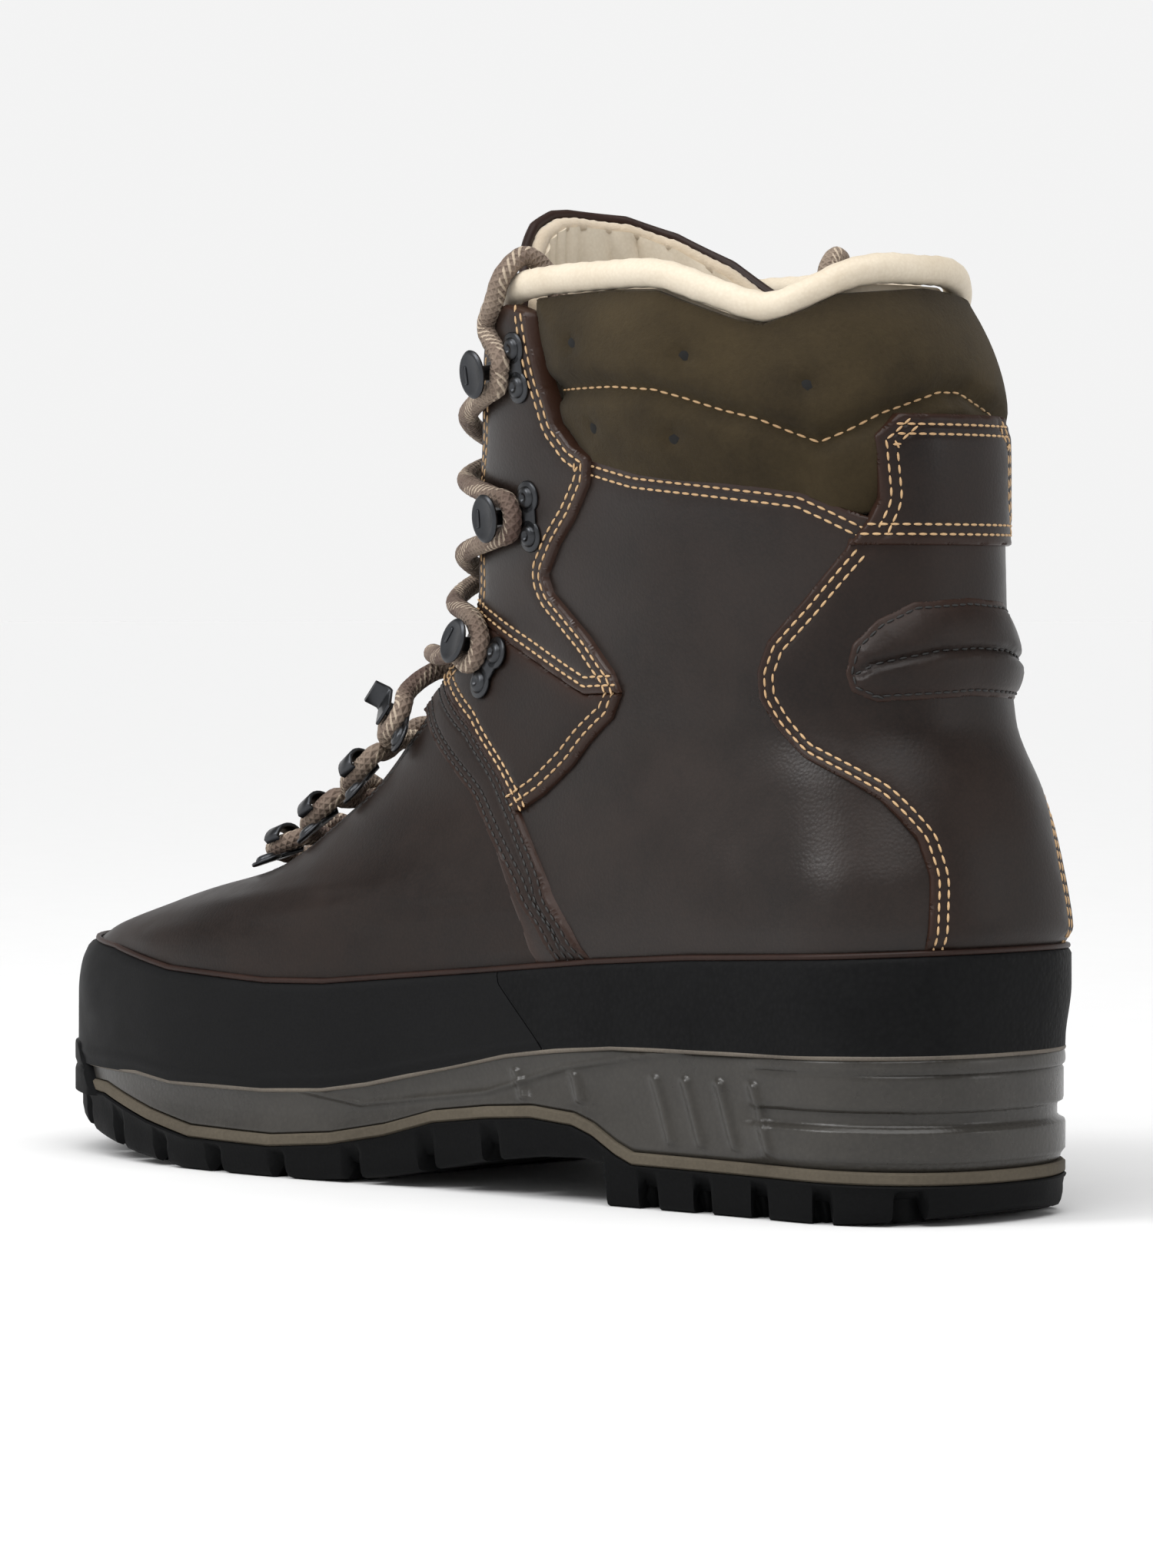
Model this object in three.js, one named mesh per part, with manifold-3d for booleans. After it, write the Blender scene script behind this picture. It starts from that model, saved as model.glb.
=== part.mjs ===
// A left mountaineering boot: lugged sole unit, rubber rand, leather upper, padded collar,
// tongue hung in the throat, lace hardware and the lace.
// Millimetres. +X points to the heel, -Y to the outer side of the foot, +Z up. The sole stands on z = 0.
import * as THREE from 'three';
import { mergeVertices } from 'three/addons/utils/BufferGeometryUtils.js';
import Module from 'manifold-3d';

const wasm = await Module();
wasm.setup();

// ---- driving dimensions -------------------------------------------------------------------
const GAP = 0.4;                       // clearance between neighbouring pieces
const LEATHER = [-2.0, 0];             // inner and outer face of the leather, measured from the body surface
const RAND = [-2.2, 0.9];
const FOOTBED_TOP = 6.6;               // above the lower edge of the rand
const STIFFENER = [-3.8, -2.8];
const PADDING = [-5.0, -2.8];
const LINING = [-6.4, -5.4];
const TONGUE_OUTER = [-9.0, -7.2];
const TONGUE_LINING = [-12.2, -9.7];
const AROUND = 32;                     // points round one horizontal section
const SPAN = 90;                       // half-length of a cutter across the boot
const LACE_RADIUS = 2.3;
const SIDES = { lateral: -1, medial: 1 };
const FOOTPRINT_SHIFT = [3.5, 0.88, 0];  // from the heel's own axis to the middle of the footprint

// Horizontal sections of the boot's outer body: height, heel end, toe end,
// half widths at the heel, waist and forefoot, and how far the heel and toe ends take to round off
const SECTIONS = [
  [14, 148, -155, 36, 42, 50, 36, 88],
  [40, 147, -155, 37, 42, 50, 36, 88],
  [52, 148, -152, 38, 42, 49, 36, 86],
  [64, 148, -121, 38, 42, 46, 36, 84],
  [74, 147, -83, 37, 41, 42, 36, 84],
  [84, 145, -67, 35, 40, 38, 36, 84],
  [96, 141, -51, 33, 39, 35, 36, 82],
  [112, 134, -36, 31, 38, 34, 36, 78],
  [130, 132, -20, 31, 38, 34, 38, 70],
  [150, 131, -12, 32, 38, 35, 40, 58],
  [175, 130, -7, 34, 40, 37, 42, 48],
  [200, 123, -4, 36, 42, 40, 44, 44],
  [230, 116, -3, 36, 42, 40, 44, 44],
];
const LEVELS = [26, 44, 54, 62, 70, 80, 94, 112, 134, 160, 186, 208];
const HEEL_ROUNDNESS = 2.3;
const TOE_ROUNDNESS = 2.2;
const MEDIAL_FOREFOOT = 0.95;          // the inner side of the forefoot is this much narrower

// Seam lines in side view, as [x, z]
const RAND_TOP = [[-175, 54], [-137, 54], [-114, 53], [-86, 49], [-50, 47.5], [-31, 48], [-10, 50], [23, 53],
  [54, 56], [82, 58], [127, 60], [165, 62]];
const RAND_BOTTOM = [[-175, 23], [-99, 22.5], [-84, 21], [-50, 21], [-31, 22], [-17, 24], [2, 28],
  [27, 33], [43, 35], [60, 36.5], [107, 37], [165, 38]];
const SPLICE = [[24, 60], [25, 51], [38, 36], [42, 30]];
const STRIP_FRONT = [[-20, 117], [-17, 112], [12, 92], [27, 77], [42, 59], [45, 44]];
const STRIP_REAR = [[-14, 126], [-11, 121], [6, 110], [19, 99], [28, 90], [43, 71], [54, 56], [57, 44]];
const WING_REAR = [[28, 90], [36, 94], [46, 101], [51, 106], [59, 112], [62, 118]];
const SLOT = [[-20, 144], [12, 132.5], [50, 117.5], [62, 118]];
const FACING_REAR = [[62, 118], [59, 123], [50, 131], [43, 136], [36, 141], [34, 145], [39, 152], [45, 158],
  [51, 166], [52, 172]];
const COLLAR_FRONT = [[52, 172], [46, 175], [41, 180], [38, 190], [36, 198], [34, 206], [35, 230]];
const COLLAR_LOWER = [[52, 172], [66, 169], [86, 167], [103, 165], [110, 164], [116, 161], [122.5, 157]];
const TAB_EDGE = [[122.5, 157], [124, 162], [123.5, 170], [123, 176], [125.5, 181], [165, 182]];
const COUNTER_EDGE = [[122.5, 157], [119, 151], [110, 139], [102, 130], [99.5, 123], [100, 117], [104, 111],
  [112, 104], [123, 99], [130, 95], [134, 91], [138, 86], [141, 78], [142, 62], [142, 44]];
const PAD = [[121.5, 119], [121, 124], [122.5, 130], [127, 134], [130, 137.5], [150, 138.5], [150, 117],
  [128, 117]];
const COLLAR_TOP = [[-175, 198], [-10, 199], [2, 200.5], [14, 205], [35, 209.5], [57, 210], [75, 209.5],
  [87, 205.3], [95, 202.5], [101, 201.3], [109, 204.5], [114, 208], [118, 210], [165, 210]];

// Sole lines in side view
const BEND_TOP = [[-175, 20], [-116, 19], [-94, 14], [-77, 11], [-48, 10.5], [-29, 12], [-12, 15], [3, 19],
  [20, 21], [35, 22], [48, 21], [54, 19], [61, 15], [66, 13], [165, 12]];
const BEND_BOTTOM = BEND_TOP.map(([x, z]) => [x, z - 3]);
const TREAD = [[-175, 13], [-157, 10.5], [-132, 7], [-117, 4.5], [-100, 2], [-81, 0], [-34, 0], [-13, 2],
  [20, 8], [37, 10], [50, 10.5], [58, 9.5], [58.5, 0], [126, 0], [140, 1.2], [153, 4], [175, 7]];
const LUG_DEPTH = 5;
const FORE_NOTCHES = [-128, -108, -88, -67, -45, -22, 1, 22];
const HEEL_NOTCHES = [71, 87, 104, 122, 139];
const NOTCH_WIDTH = 4;

// ---- body surface -------------------------------------------------------------------------
// Smooth monotone interpolation of one column of SECTIONS
function column(index) {
  const z = SECTIONS.map((row) => row[0]);
  const v = SECTIONS.map((row) => row[index]);
  const slope = z.slice(1).map((_, i) => (v[i + 1] - v[i]) / (z[i + 1] - z[i]));
  const tangent = z.map((_, i) => {
    if (i === 0 || i === z.length - 1) return slope[Math.min(i, slope.length - 1)];
    const [a, b] = [slope[i - 1], slope[i]];
    return a * b <= 0 ? 0 : (2 * a * b) / (a + b);
  });
  return (height) => {
    const h = Math.min(Math.max(height, z[0]), z[z.length - 1]);
    let i = 0;
    while (i < z.length - 2 && h > z[i + 1]) i += 1;
    const step = z[i + 1] - z[i];
    const s = (h - z[i]) / step;
    return v[i] * (1 + 2 * s) * (1 - s) ** 2 + v[i + 1] * s * s * (3 - 2 * s)
      + step * (tangent[i] * s * (1 - s) ** 2 - tangent[i + 1] * s * s * (1 - s));
  };
}
const [heelEnd, toeEnd, heelHalf, waistHalf, foreHalf, heelCap, toeCap] = [1, 2, 3, 4, 5, 6, 7].map(column);

const steepness = (end, z) => Math.hypot(1, (end(z + 1) - end(z - 1)) / 2);

// Ends of the section at height z, moved outwards by an offset
function sectionEnds(z, offset) {
  return [heelEnd(z) + offset * steepness(heelEnd, z), toeEnd(z) - offset * steepness(toeEnd, z)];
}

function rounded(share, roundness) {
  const rest = 1 - THREE.MathUtils.clamp(share, 0, 1);
  return (1 - rest ** roundness) ** (1 / roundness);
}

// Half width of the section at u, from 0 at the heel end to 1 at the toe end
function halfWidth(u, z, offset, side) {
  const [heel, toe] = sectionEnds(z, offset);
  const length = heel - toe;
  const spread = heelHalf(z) + (waistHalf(z) - heelHalf(z)) * THREE.MathUtils.smoothstep(u, 0.1, 0.42)
    + (foreHalf(z) - waistHalf(z)) * THREE.MathUtils.smoothstep(u, 0.42, 0.7);
  const cap = rounded((u * length) / (heelCap(z) + offset), HEEL_ROUNDNESS)
    * rounded(((1 - u) * length) / (toeCap(z) + offset), TOE_ROUNDNESS);
  const narrow = side > 0 ? 1 + (MEDIAL_FOREFOOT - 1) * u : 1;
  return (spread + offset) * cap * narrow;
}

function bodyPoint(turn, z, offset) {
  const side = turn <= 0.5 ? -1 : 1;
  const u = (1 - Math.cos(2 * Math.PI * turn)) / 2;
  const [heel, toe] = sectionEnds(z, offset);
  return new THREE.Vector3(heel + (toe - heel) * u, side * halfWidth(u, z, offset, side), z);
}

// Point on the body at a given x and height, with its outward direction
function sidePlace(x, z, side, offset = 0) {
  const at = (px, pz) => {
    const [heel, toe] = sectionEnds(pz, offset);
    const u = Math.min(Math.max((px - heel) / (toe - heel), 0), 1);
    return new THREE.Vector3(px, side * halfWidth(u, pz, offset, side), pz);
  };
  const point = at(x, z);
  const along = at(x + 0.5, z).sub(at(x - 0.5, z));
  const up = at(x, z + 0.5).sub(at(x, z - 0.5));
  const normal = along.cross(up).normalize();
  if (normal.y * side < 0) normal.negate();
  return { point, normal };
}

// Point near the instep ridge at a given x and distance y from the middle
function ridgePlace(x, y, offset = 0) {
  let [low, high] = [44, 128];
  for (let i = 0; i < 40; i += 1) {
    const z = (low + high) / 2;
    const [heel, toe] = sectionEnds(z, offset);
    const u = (x - heel) / (toe - heel);
    const wide = u < 1 && halfWidth(u, z, offset, Math.sign(y)) > Math.abs(y);
    [low, high] = wide ? [z, high] : [low, z];
  }
  return sidePlace(x, low, Math.sign(y), offset);
}

// ---- solids -------------------------------------------------------------------------------
function solid(geometry) {
  const bare = geometry.clone();
  bare.deleteAttribute('normal');
  bare.deleteAttribute('uv');
  const merged = mergeVertices(bare, 1e-4);
  return new wasm.Manifold(new wasm.Mesh({
    numProp: 3,
    vertProperties: new Float32Array(merged.attributes.position.array),
    triVerts: new Uint32Array(merged.index.array),
  }));
}

function surfaceOf(manifold) {
  const mesh = manifold.getMesh();
  const geometry = new THREE.BufferGeometry();
  geometry.setAttribute('position', new THREE.BufferAttribute(mesh.vertProperties, 3));
  geometry.setIndex(new THREE.BufferAttribute(mesh.triVerts, 1));
  geometry.computeVertexNormals();
  return geometry;
}

// Closed sleeve round the body between two offsets, over the levels from low to high
function sleeve([inner, outer], low, high, around = AROUND) {
  const levels = [low, ...LEVELS.filter((z) => z > low + 1 && z < high - 1), high];
  const rings = [...levels.map((z) => [z, outer]), ...levels.slice().reverse().map((z) => [z, inner])];
  const positions = rings.flatMap(([z, offset]) => Array.from({ length: around }, (_, i) => (
    bodyPoint(i / around, z, offset).toArray())).flat());
  const index = [];
  rings.forEach((_, row) => {
    const next = (row + 1) % rings.length;
    for (let i = 0; i < around; i += 1) {
      const j = (i + 1) % around;
      const [a, b, c, d] = [row * around + i, row * around + j, next * around + j, next * around + i];
      index.push(a, c, b, a, d, c);
    }
  });
  const geometry = new THREE.BufferGeometry();
  geometry.setAttribute('position', new THREE.Float32BufferAttribute(positions, 3));
  geometry.setIndex(index);
  return solid(geometry);
}

// Moves every corner of a closed outline inwards by a distance
function inset(outline, distance) {
  const points = outline.map(([a, b]) => new THREE.Vector2(a, b));
  const turn = THREE.ShapeUtils.isClockWise(points) ? -1 : 1;
  return points.map((p, i) => {
    const before = p.clone().sub(points[(i + points.length - 1) % points.length]).normalize();
    const after = points[(i + 1) % points.length].clone().sub(p).normalize();
    const inwards = new THREE.Vector2(-before.y - after.y, before.x + after.x).normalize();
    const stretch = Math.max(0.4, Math.abs(inwards.dot(new THREE.Vector2(-after.y, after.x))));
    return p.clone().addScaledVector(inwards, (turn * distance) / stretch);
  });
}

// Cutter extruded across the boot from an outline in side view, between two y values
function sideCutter(outline, from = -SPAN, to = SPAN) {
  const shape = new THREE.Shape(outline.map((p) => (Array.isArray(p) ? new THREE.Vector2(...p) : p)));
  const geometry = new THREE.ExtrudeGeometry(shape, { depth: to - from, bevelEnabled: false });
  geometry.rotateX(Math.PI / 2).translate(0, to, 0);
  return solid(geometry);
}

// Cutter extruded downwards from an outline in plan view
function planCutter(outline, low, high) {
  const shape = new THREE.Shape(outline.map(([x, y]) => new THREE.Vector2(x, y)));
  const geometry = new THREE.ExtrudeGeometry(shape, { depth: high - low, bevelEnabled: false });
  return solid(geometry.translate(0, 0, low));
}

// Cutter extruded along the boot from an outline in front view, given as [y, z]
function frontCutter(outline, from, to) {
  const shape = new THREE.Shape(outline.map(([y, z]) => new THREE.Vector2(y, z)));
  const geometry = new THREE.ExtrudeGeometry(shape, { depth: to - from, bevelEnabled: false });
  geometry.rotateX(Math.PI / 2).rotateZ(Math.PI / 2).translate(from, 0, 0);
  return solid(geometry);
}

function block(x, y, z, sx, sy, sz) {
  return solid(new THREE.BoxGeometry(sx, sy, sz).translate(x, y, z));
}

// A curve whose steps follow its points, so that tight turns get more of them
class RoutedCurve extends THREE.CatmullRomCurve3 {
  getUtoTmapping(u, distance) {
    return distance ? super.getUtoTmapping(u, distance) : u;
  }
}

function tube(points, radius, steps, sides = 8, Curve = THREE.CatmullRomCurve3) {
  const ring = new THREE.Shape(Array.from({ length: sides }, (_, i) => new THREE.Vector2(
    radius * Math.cos((2 * Math.PI * i) / sides), radius * Math.sin((2 * Math.PI * i) / sides))));
  const path = new Curve(points, false, 'centripetal');
  return new THREE.ExtrudeGeometry(ring, { steps, bevelEnabled: false, extrudePath: path });
}

// ---- materials and assembly ---------------------------------------------------------------
function finish(color, roughness, metalness = 0) {
  return new THREE.MeshStandardMaterial({ color, roughness, metalness });
}
const FINISHES = {
  leather: finish('#2f2724', 0.45), nubuck: finish('#4a3f2d', 0.95), cream: finish('#efe2cf', 0.7),
  rubber: finish('#141617', 0.8), rand: finish('#26282a', 0.75), midsole: finish('#55524d', 0.35),
  wedge: finish('#6b6253', 0.6), metal: finish('#4b4f52', 0.35, 0.9), lace: finish('#5a3c31', 0.8),
  board: finish('#8a7355', 0.9), steel: finish('#9aa0a5', 0.4, 1), foam: finish('#8d8a84', 1),
};
const group = new THREE.Group();

function add(name, shape, material) {
  const geometry = shape.isBufferGeometry ? shape : surfaceOf(shape);
  const mesh = new THREE.Mesh(geometry, FINISHES[material]);
  mesh.name = name;
  group.add(mesh);
  return mesh;
}

// ---- sole unit ----------------------------------------------------------------------------
const solePlan = (offset) => Array.from({ length: AROUND }, (_, i) => {
  const p = bodyPoint(i / AROUND, 30, offset);
  return [p.x, p.y];
});
const reverse = (line) => line.slice().reverse();
const band = (lower, upper) => sideCutter([...lower, ...reverse(upper)]);
const raised = (line, dz) => line.map(([x, z]) => [x, z + dz]);
function soleLayer(lower, upper, offset) {
  return planCutter(solePlan(offset), -5, 75).intersect(band(lower, upper));
}

function buildOutsole() {
  let sole = soleLayer(TREAD, raised(BEND_BOTTOM, -0.3), 0.4);
  const notch = (x, depth, z) => {
    for (const side of [-1, 1]) {
      sole = sole.subtract(block(x, side * 52, z + depth / 2 - 0.5, NOTCH_WIDTH, 66, depth + 1));
    }
  };
  FORE_NOTCHES.forEach((x) => notch(x, LUG_DEPTH - 1.5, lineAt(TREAD, x) - 0.5));
  HEEL_NOTCHES.forEach((x) => notch(x, LUG_DEPTH, 0));
  const channel = planCutter([[-112, -4], [-40, -5], [30, -4], [30, 4], [-40, 5], [-112, 4]], -3, 3.4);
  const heelChannel = planCutter([[66, -14], [124, -12], [124, 12], [66, 14]], -3, 4);
  return sole.subtract(channel).subtract(heelChannel);
}

function lineAt(line, x) {
  const i = line.findIndex((p, k) => k < line.length - 1 && x >= p[0] && x < line[k + 1][0]);
  const [a, b] = [line[i], line[i + 1]];
  return a[1] + ((b[1] - a[1]) * (x - a[0])) / (b[0] - a[0]);
}

add('outsole', buildOutsole(), 'rubber');
add('sole_wedge', soleLayer(BEND_BOTTOM, raised(BEND_TOP, -0.3), 0.2), 'wedge');
const shankPlan = [[-10, -9], [95, -10], [95, 10], [-10, 9]];
const shankPocket = planCutter([[-11, -10], [96, -11], [96, 11], [-11, 10]], 0, 70);
const midsole = soleLayer(BEND_TOP, raised(RAND_BOTTOM, -0.4), 0);
const pocketDepth = band(raised(RAND_BOTTOM, -3.2), raised(RAND_BOTTOM, 2));
add('midsole', midsole.subtract(shankPocket.intersect(pocketDepth)), 'midsole');
const shankDepth = band(raised(RAND_BOTTOM, -2.8), raised(RAND_BOTTOM, -0.6));
add('shank', planCutter(shankPlan, 0, 70).intersect(shankDepth), 'steel');
const innerSole = (offset, low, high) => planCutter(solePlan(offset), 0, 75)
  .intersect(band(raised(RAND_BOTTOM, low), raised(RAND_BOTTOM, high)));
add('insole_board', innerSole(-7.9, 0, 2.4), 'board');
add('footbed', innerSole(-8.6, 2.8, FOOTBED_TOP), 'foam');

// ---- rand ---------------------------------------------------------------------------------
const randBand = sleeve(RAND, 14, 70).intersect(band(RAND_BOTTOM, RAND_TOP));
function aheadOfSplice(gap) {
  const splice = SPLICE.map(([x, z]) => [x + gap, z]);
  return sideCutter([[-175, 10], [-175, 75], ...splice, [40 + gap, 10]]);
}
add('rand_front', randBand.intersect(aheadOfSplice(0)), 'rand');
add('rand_rear', randBand.subtract(aheadOfSplice(GAP)), 'rand');

// ---- throat, open between the facings -----------------------------------------------------
const THROAT_PLAN = [[-80, -3], [-76, -6], [-40, -8], [-12, -13], [-12, 13], [-40, 8], [-76, 6], [-80, 3]];
const THROAT_FRONT = [[-13, 118], [-19, 160], [-24, 200], [-24, 240], [24, 240], [24, 200], [19, 160],
  [13, 118]];
const throat = planCutter(THROAT_PLAN, 60, 140).add(frontCutter(THROAT_FRONT, -60, 30));

// ---- leather panels -----------------------------------------------------------------------
const belowTop = (drop) => sideCutter([[-175, 0], [175, 0], ...raised(reverse(COLLAR_TOP), -drop)]);
const skin = sleeve(LEATHER, 38, 228).subtract(throat).intersect(belowTop(0));
const above = RAND_TOP.map(([x, z]) => [x, z + GAP]);
const aboveRand = sideCutter([...above, [175, 240], [-175, 240]]);

function panel(outline, layer = skin) {
  return layer.intersect(sideCutter(inset(outline, GAP / 2))).intersect(aboveRand);
}
function sidePanel(outline, side, layer = skin) {
  const [from, to] = side < 0 ? [-SPAN, -0.2] : [0.2, SPAN];
  return layer.intersect(sideCutter(inset(outline, GAP / 2), from, to)).intersect(aboveRand);
}

const VAMP = [...STRIP_FRONT, [-175, 44], [-175, 117]];
const COUNTER = [[119.4, 151], ...COUNTER_EDGE.slice(2), [175, 44], [175, 151]];
const TAB = [[119.4, 151], ...TAB_EDGE, [175, 151]];
const COLLAR = [...COLLAR_LOWER, ...TAB_EDGE.slice(1), [175, 230],
  ...reverse(COLLAR_FRONT).slice(0, -1)];
const STRIP = [...STRIP_FRONT, ...reverse(STRIP_REAR)];
const WING = [...STRIP_REAR.slice(0, 5), ...WING_REAR.slice(1), ...reverse(SLOT).slice(1)];
const FACING = [...SLOT, ...FACING_REAR.slice(1), ...COLLAR_FRONT.slice(1), [-30, 230]];
const QUARTER = [...reverse(STRIP_REAR).slice(0, 4), ...WING_REAR.slice(1), ...FACING_REAR.slice(1),
  ...COLLAR_LOWER.slice(1), ...COUNTER_EDGE.slice(1)];

add('vamp', panel(VAMP), 'leather');
const padHole = sideCutter(inset(PAD, -GAP / 2));
add('heel_counter_panel', panel(COUNTER).subtract(padHole), 'leather');
add('achilles_pad', panel(PAD, sleeve([-2, 1.6], 100, 150)), 'leather');
add('heel_tab', panel(TAB), 'leather');
add('collar_nubuck', panel(COLLAR), 'nubuck');
for (const [name, side] of Object.entries(SIDES)) {
  add(`quarter_${name}`, sidePanel(QUARTER, side), 'leather');
  add(`facing_${name}`, sidePanel(FACING, side), 'leather');
  add(`ankle_wing_${name}`, sidePanel(WING, side), 'leather');
  add(`instep_strip_${name}`, sidePanel(STRIP, side), 'leather');
}

// ---- stiffeners, padding, lining, collar roll ----------------------------------------------
const TOE_PUFF = [[-175, 34], [-108, 34], [-112, 62], [-175, 70]];
const HEEL_CUP = [[105, 44], [175, 44], [175, 98], [120, 92]];
add('toe_stiffener', sleeve(STIFFENER, 34, 80).intersect(sideCutter(TOE_PUFF)), 'board');
add('heel_stiffener', sleeve(STIFFENER, 44, 100).intersect(sideCutter(HEEL_CUP)), 'board');
const COLLAR_FOAM = [[40, 200], [48, 180], [60, 173], [112, 166], [126, 160], [175, 160], [175, 204],
  [100, 199]];
add('collar_padding', sleeve(PADDING, 150, 212).intersect(sideCutter(COLLAR_FOAM)), 'foam');
const aboveBed = sideCutter([...raised(RAND_BOTTOM, 1.2), [175, 230], [-175, 230]]);
const liningSleeve = sleeve(LINING, 14, 214, 24).subtract(throat);
add('lining', liningSleeve.intersect(aboveBed).intersect(belowTop(3)), 'cream');

const ROLL_RADIUS = 3.7;
const rollLine = [[4, 203], [14, 207.5], [28, 210.5], [56, 211.5], [75, 211], [87, 207], [100, 203],
  [108, 206.5], [113, 210.3], [116, 211.8]];
function rollPoints(side) {
  return rollLine.map(([x, z]) => sidePlace(x, z, side, -2.7).point.setZ(z + 2.2));
}
const rollBack = new THREE.Vector3(heelEnd(211) - 2.7, 0, 214);
const rollPath = [...rollPoints(-1), rollBack, ...reverse(rollPoints(1))];
const rollSolid = solid(tube(rollPath, ROLL_RADIUS, 36, 8));
add('collar_roll', rollSolid.subtract(belowTop(-GAP)), 'cream');

// ---- tongue -------------------------------------------------------------------------------
const tongueFront = [[-13, 70], [-17, 110], [-20, 150], [-22, 186], [-19, 211], [-11, 226], [0, 230],
  [14, 229], [26, 225], [34, 217], [37, 202], [37, 182], [26, 165], [20, 150], [17, 110], [13, 70]];
const tongueSide = [[-60, 86], [-30, 132], [-30, 233], [18, 233], [38, 213], [26, 190], [12, 160],
  [-4, 116], [-42, 84]];
const baseSide = [[-95, 52], [-60, 84.8], [-42, 81.4], [-52, 50]];
function tongueLayer(layer, side) {
  return sleeve(layer, 50, 232).intersect(frontCutter(tongueFront, -130, 60)).intersect(sideCutter(side));
}
add('tongue_outer', tongueLayer(TONGUE_OUTER, tongueSide), 'nubuck');
add('tongue_lining', tongueLayer(TONGUE_LINING, tongueSide), 'cream');
add('tongue_base', tongueLayer([-10, -7.2], baseSide), 'nubuck');

// ---- lace hardware ------------------------------------------------------------------------
const PLATE = 1.0;                     // thickness of the pressed sheet
const SEAT = 0.35;                     // clearance under a plate
const POST_AT = 8.5;
const LACE_LIFT = SEAT + PLATE + 0.3 + LACE_RADIUS;

const drum = (x, y, z, radius, height, sides = 8) => solid(
  new THREE.CylinderGeometry(radius, radius, height, sides).rotateX(Math.PI / 2).translate(x, y, z + height / 2));
function sheet(x0, x1, y0, y1, z0, z1) {
  return block((x0 + x1) / 2, (y0 + y1) / 2, (z0 + z1) / 2, x1 - x0, y1 - y0, z1 - z0);
}
const TOP = SEAT + PLATE;

function riveted(x, y) {
  return drum(x, y, SEAT, 3.7, PLATE).add(drum(x, y, TOP - 0.1, 2.4, 1.1));
}

// Open hook: two riveted lobes, a neck, a post and an oval disc with a slot
function hookShape() {
  const disc = solid(new THREE.CylinderGeometry(1, 1, 1.2, 12).rotateX(Math.PI / 2).scale(4.2, 5.2, 1)
    .translate(POST_AT + 0.5, 0, TOP + 5.8));
  return riveted(0, 4.5).add(riveted(0, -4.5)).add(sheet(-2, POST_AT + 2, -2.6, 2.6, SEAT, TOP))
    .add(drum(POST_AT, 0, SEAT, 1.8, 6.8)).add(disc)
    .subtract(sheet(POST_AT + 2.3, POST_AT + 3.5, -2.4, 2.4, TOP + 4, TOP + 8));
}

// Locking hook: one riveted plate whose end folds up into a narrow jaw
function lockShape() {
  return riveted(-1, 0).add(sheet(-3, POST_AT + 2, -3.4, 3.4, SEAT, TOP))
    .add(drum(POST_AT, 0, SEAT, 1.8, 6.8))
    .add(sheet(POST_AT - 3.5, POST_AT + 4, -3.2, 3.2, TOP + 5.2, TOP + 6.3))
    .add(sheet(POST_AT + 2.9, POST_AT + 4, -3.2, 3.2, TOP + 5.2, TOP + 9));
}

// Folded lace loop: a riveted leaf whose other end makes a tunnel along the facing
function loopShape() {
  const height = 2 * LACE_RADIUS + 1.4;
  const width = 2 * LACE_RADIUS + 2.8;
  return riveted(-3, 0).add(sheet(-3, 1, -3, 3, SEAT, TOP))
    .add(sheet(0, width + 2, -2.2, 2.2, SEAT, TOP + height + 1))
    .subtract(sheet(1, width + 1, -4, 4, TOP, TOP + height));
}

// Frame on the surface: z outwards, x along the forward direction
function frameAt({ point, normal }, forward, lift = 0) {
  const x = forward.clone().addScaledVector(normal, -forward.dot(normal)).normalize();
  const y = normal.clone().cross(x);
  const seat = point.clone().addScaledVector(normal, lift);
  return new THREE.Matrix4().makeBasis(x, y, normal).setPosition(seat);
}
// Loops and locking hooks sit beside the instep ridge, hooks on the side of the shaft
function onRidge(x, y, ahead, lift) {
  return (side) => frameAt(ridgePlace(x, y * side), new THREE.Vector3(-ahead, -side, ahead), lift);
}
function onShaft(x, z, rise, lift) {
  return (side) => frameAt(sidePlace(x, z, side), new THREE.Vector3(-1, 0, rise), lift);
}
const HARDWARE = [
  { name: 'lace_loop_1', shape: loopShape, frame: onRidge(-82, 16, 0, 1.3) },
  { name: 'lace_loop_2', shape: loopShape, frame: onRidge(-65, 16.5, 0, 1.3) },
  { name: 'lace_loop_3', shape: loopShape, frame: onRidge(-48, 17, 0, 1.3) },
  { name: 'locking_hook', shape: lockShape, frame: onRidge(-28, 21, 0.3, 0.9) },
  { name: 'hook_1', shape: hookShape, frame: onShaft(12.5, 123, 0.8, 0.7) },
  { name: 'hook_2', shape: hookShape, frame: onShaft(30, 159, 0, 0.3) },
  { name: 'hook_3', shape: hookShape, frame: onShaft(29.5, 193.5, -0.1, 0) },
];
const hardwareFrames = {};
for (const { name, shape, frame } of HARDWARE) {
  const form = surfaceOf(shape());
  for (const [side, sign] of Object.entries(SIDES)) {
    const place = frame(sign);
    const mesh = add(`${name}_${side}`, form, 'metal');
    place.decompose(mesh.position, mesh.quaternion, mesh.scale);
    hardwareFrames[`${name}_${side}`] = place;
  }
}

// ---- lace ---------------------------------------------------------------------------------
// Where the lace runs at one piece of hardware, from its lower to its upper side
const AROUND_POST = [[11.1, -5, LACE_LIFT], [5.4, -3.5, LACE_LIFT], [3.9, 0, LACE_LIFT],
  [5.4, 3.5, LACE_LIFT], [11.1, 5, LACE_LIFT]];
const THROUGH_LOOP = [[6.4, -5.8, LACE_LIFT + 0.2], [4.2, -1.8, LACE_LIFT + 0.3],
  [4.2, 1.8, LACE_LIFT + 0.3], [6.4, 5.8, LACE_LIFT + 0.2]];

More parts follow.
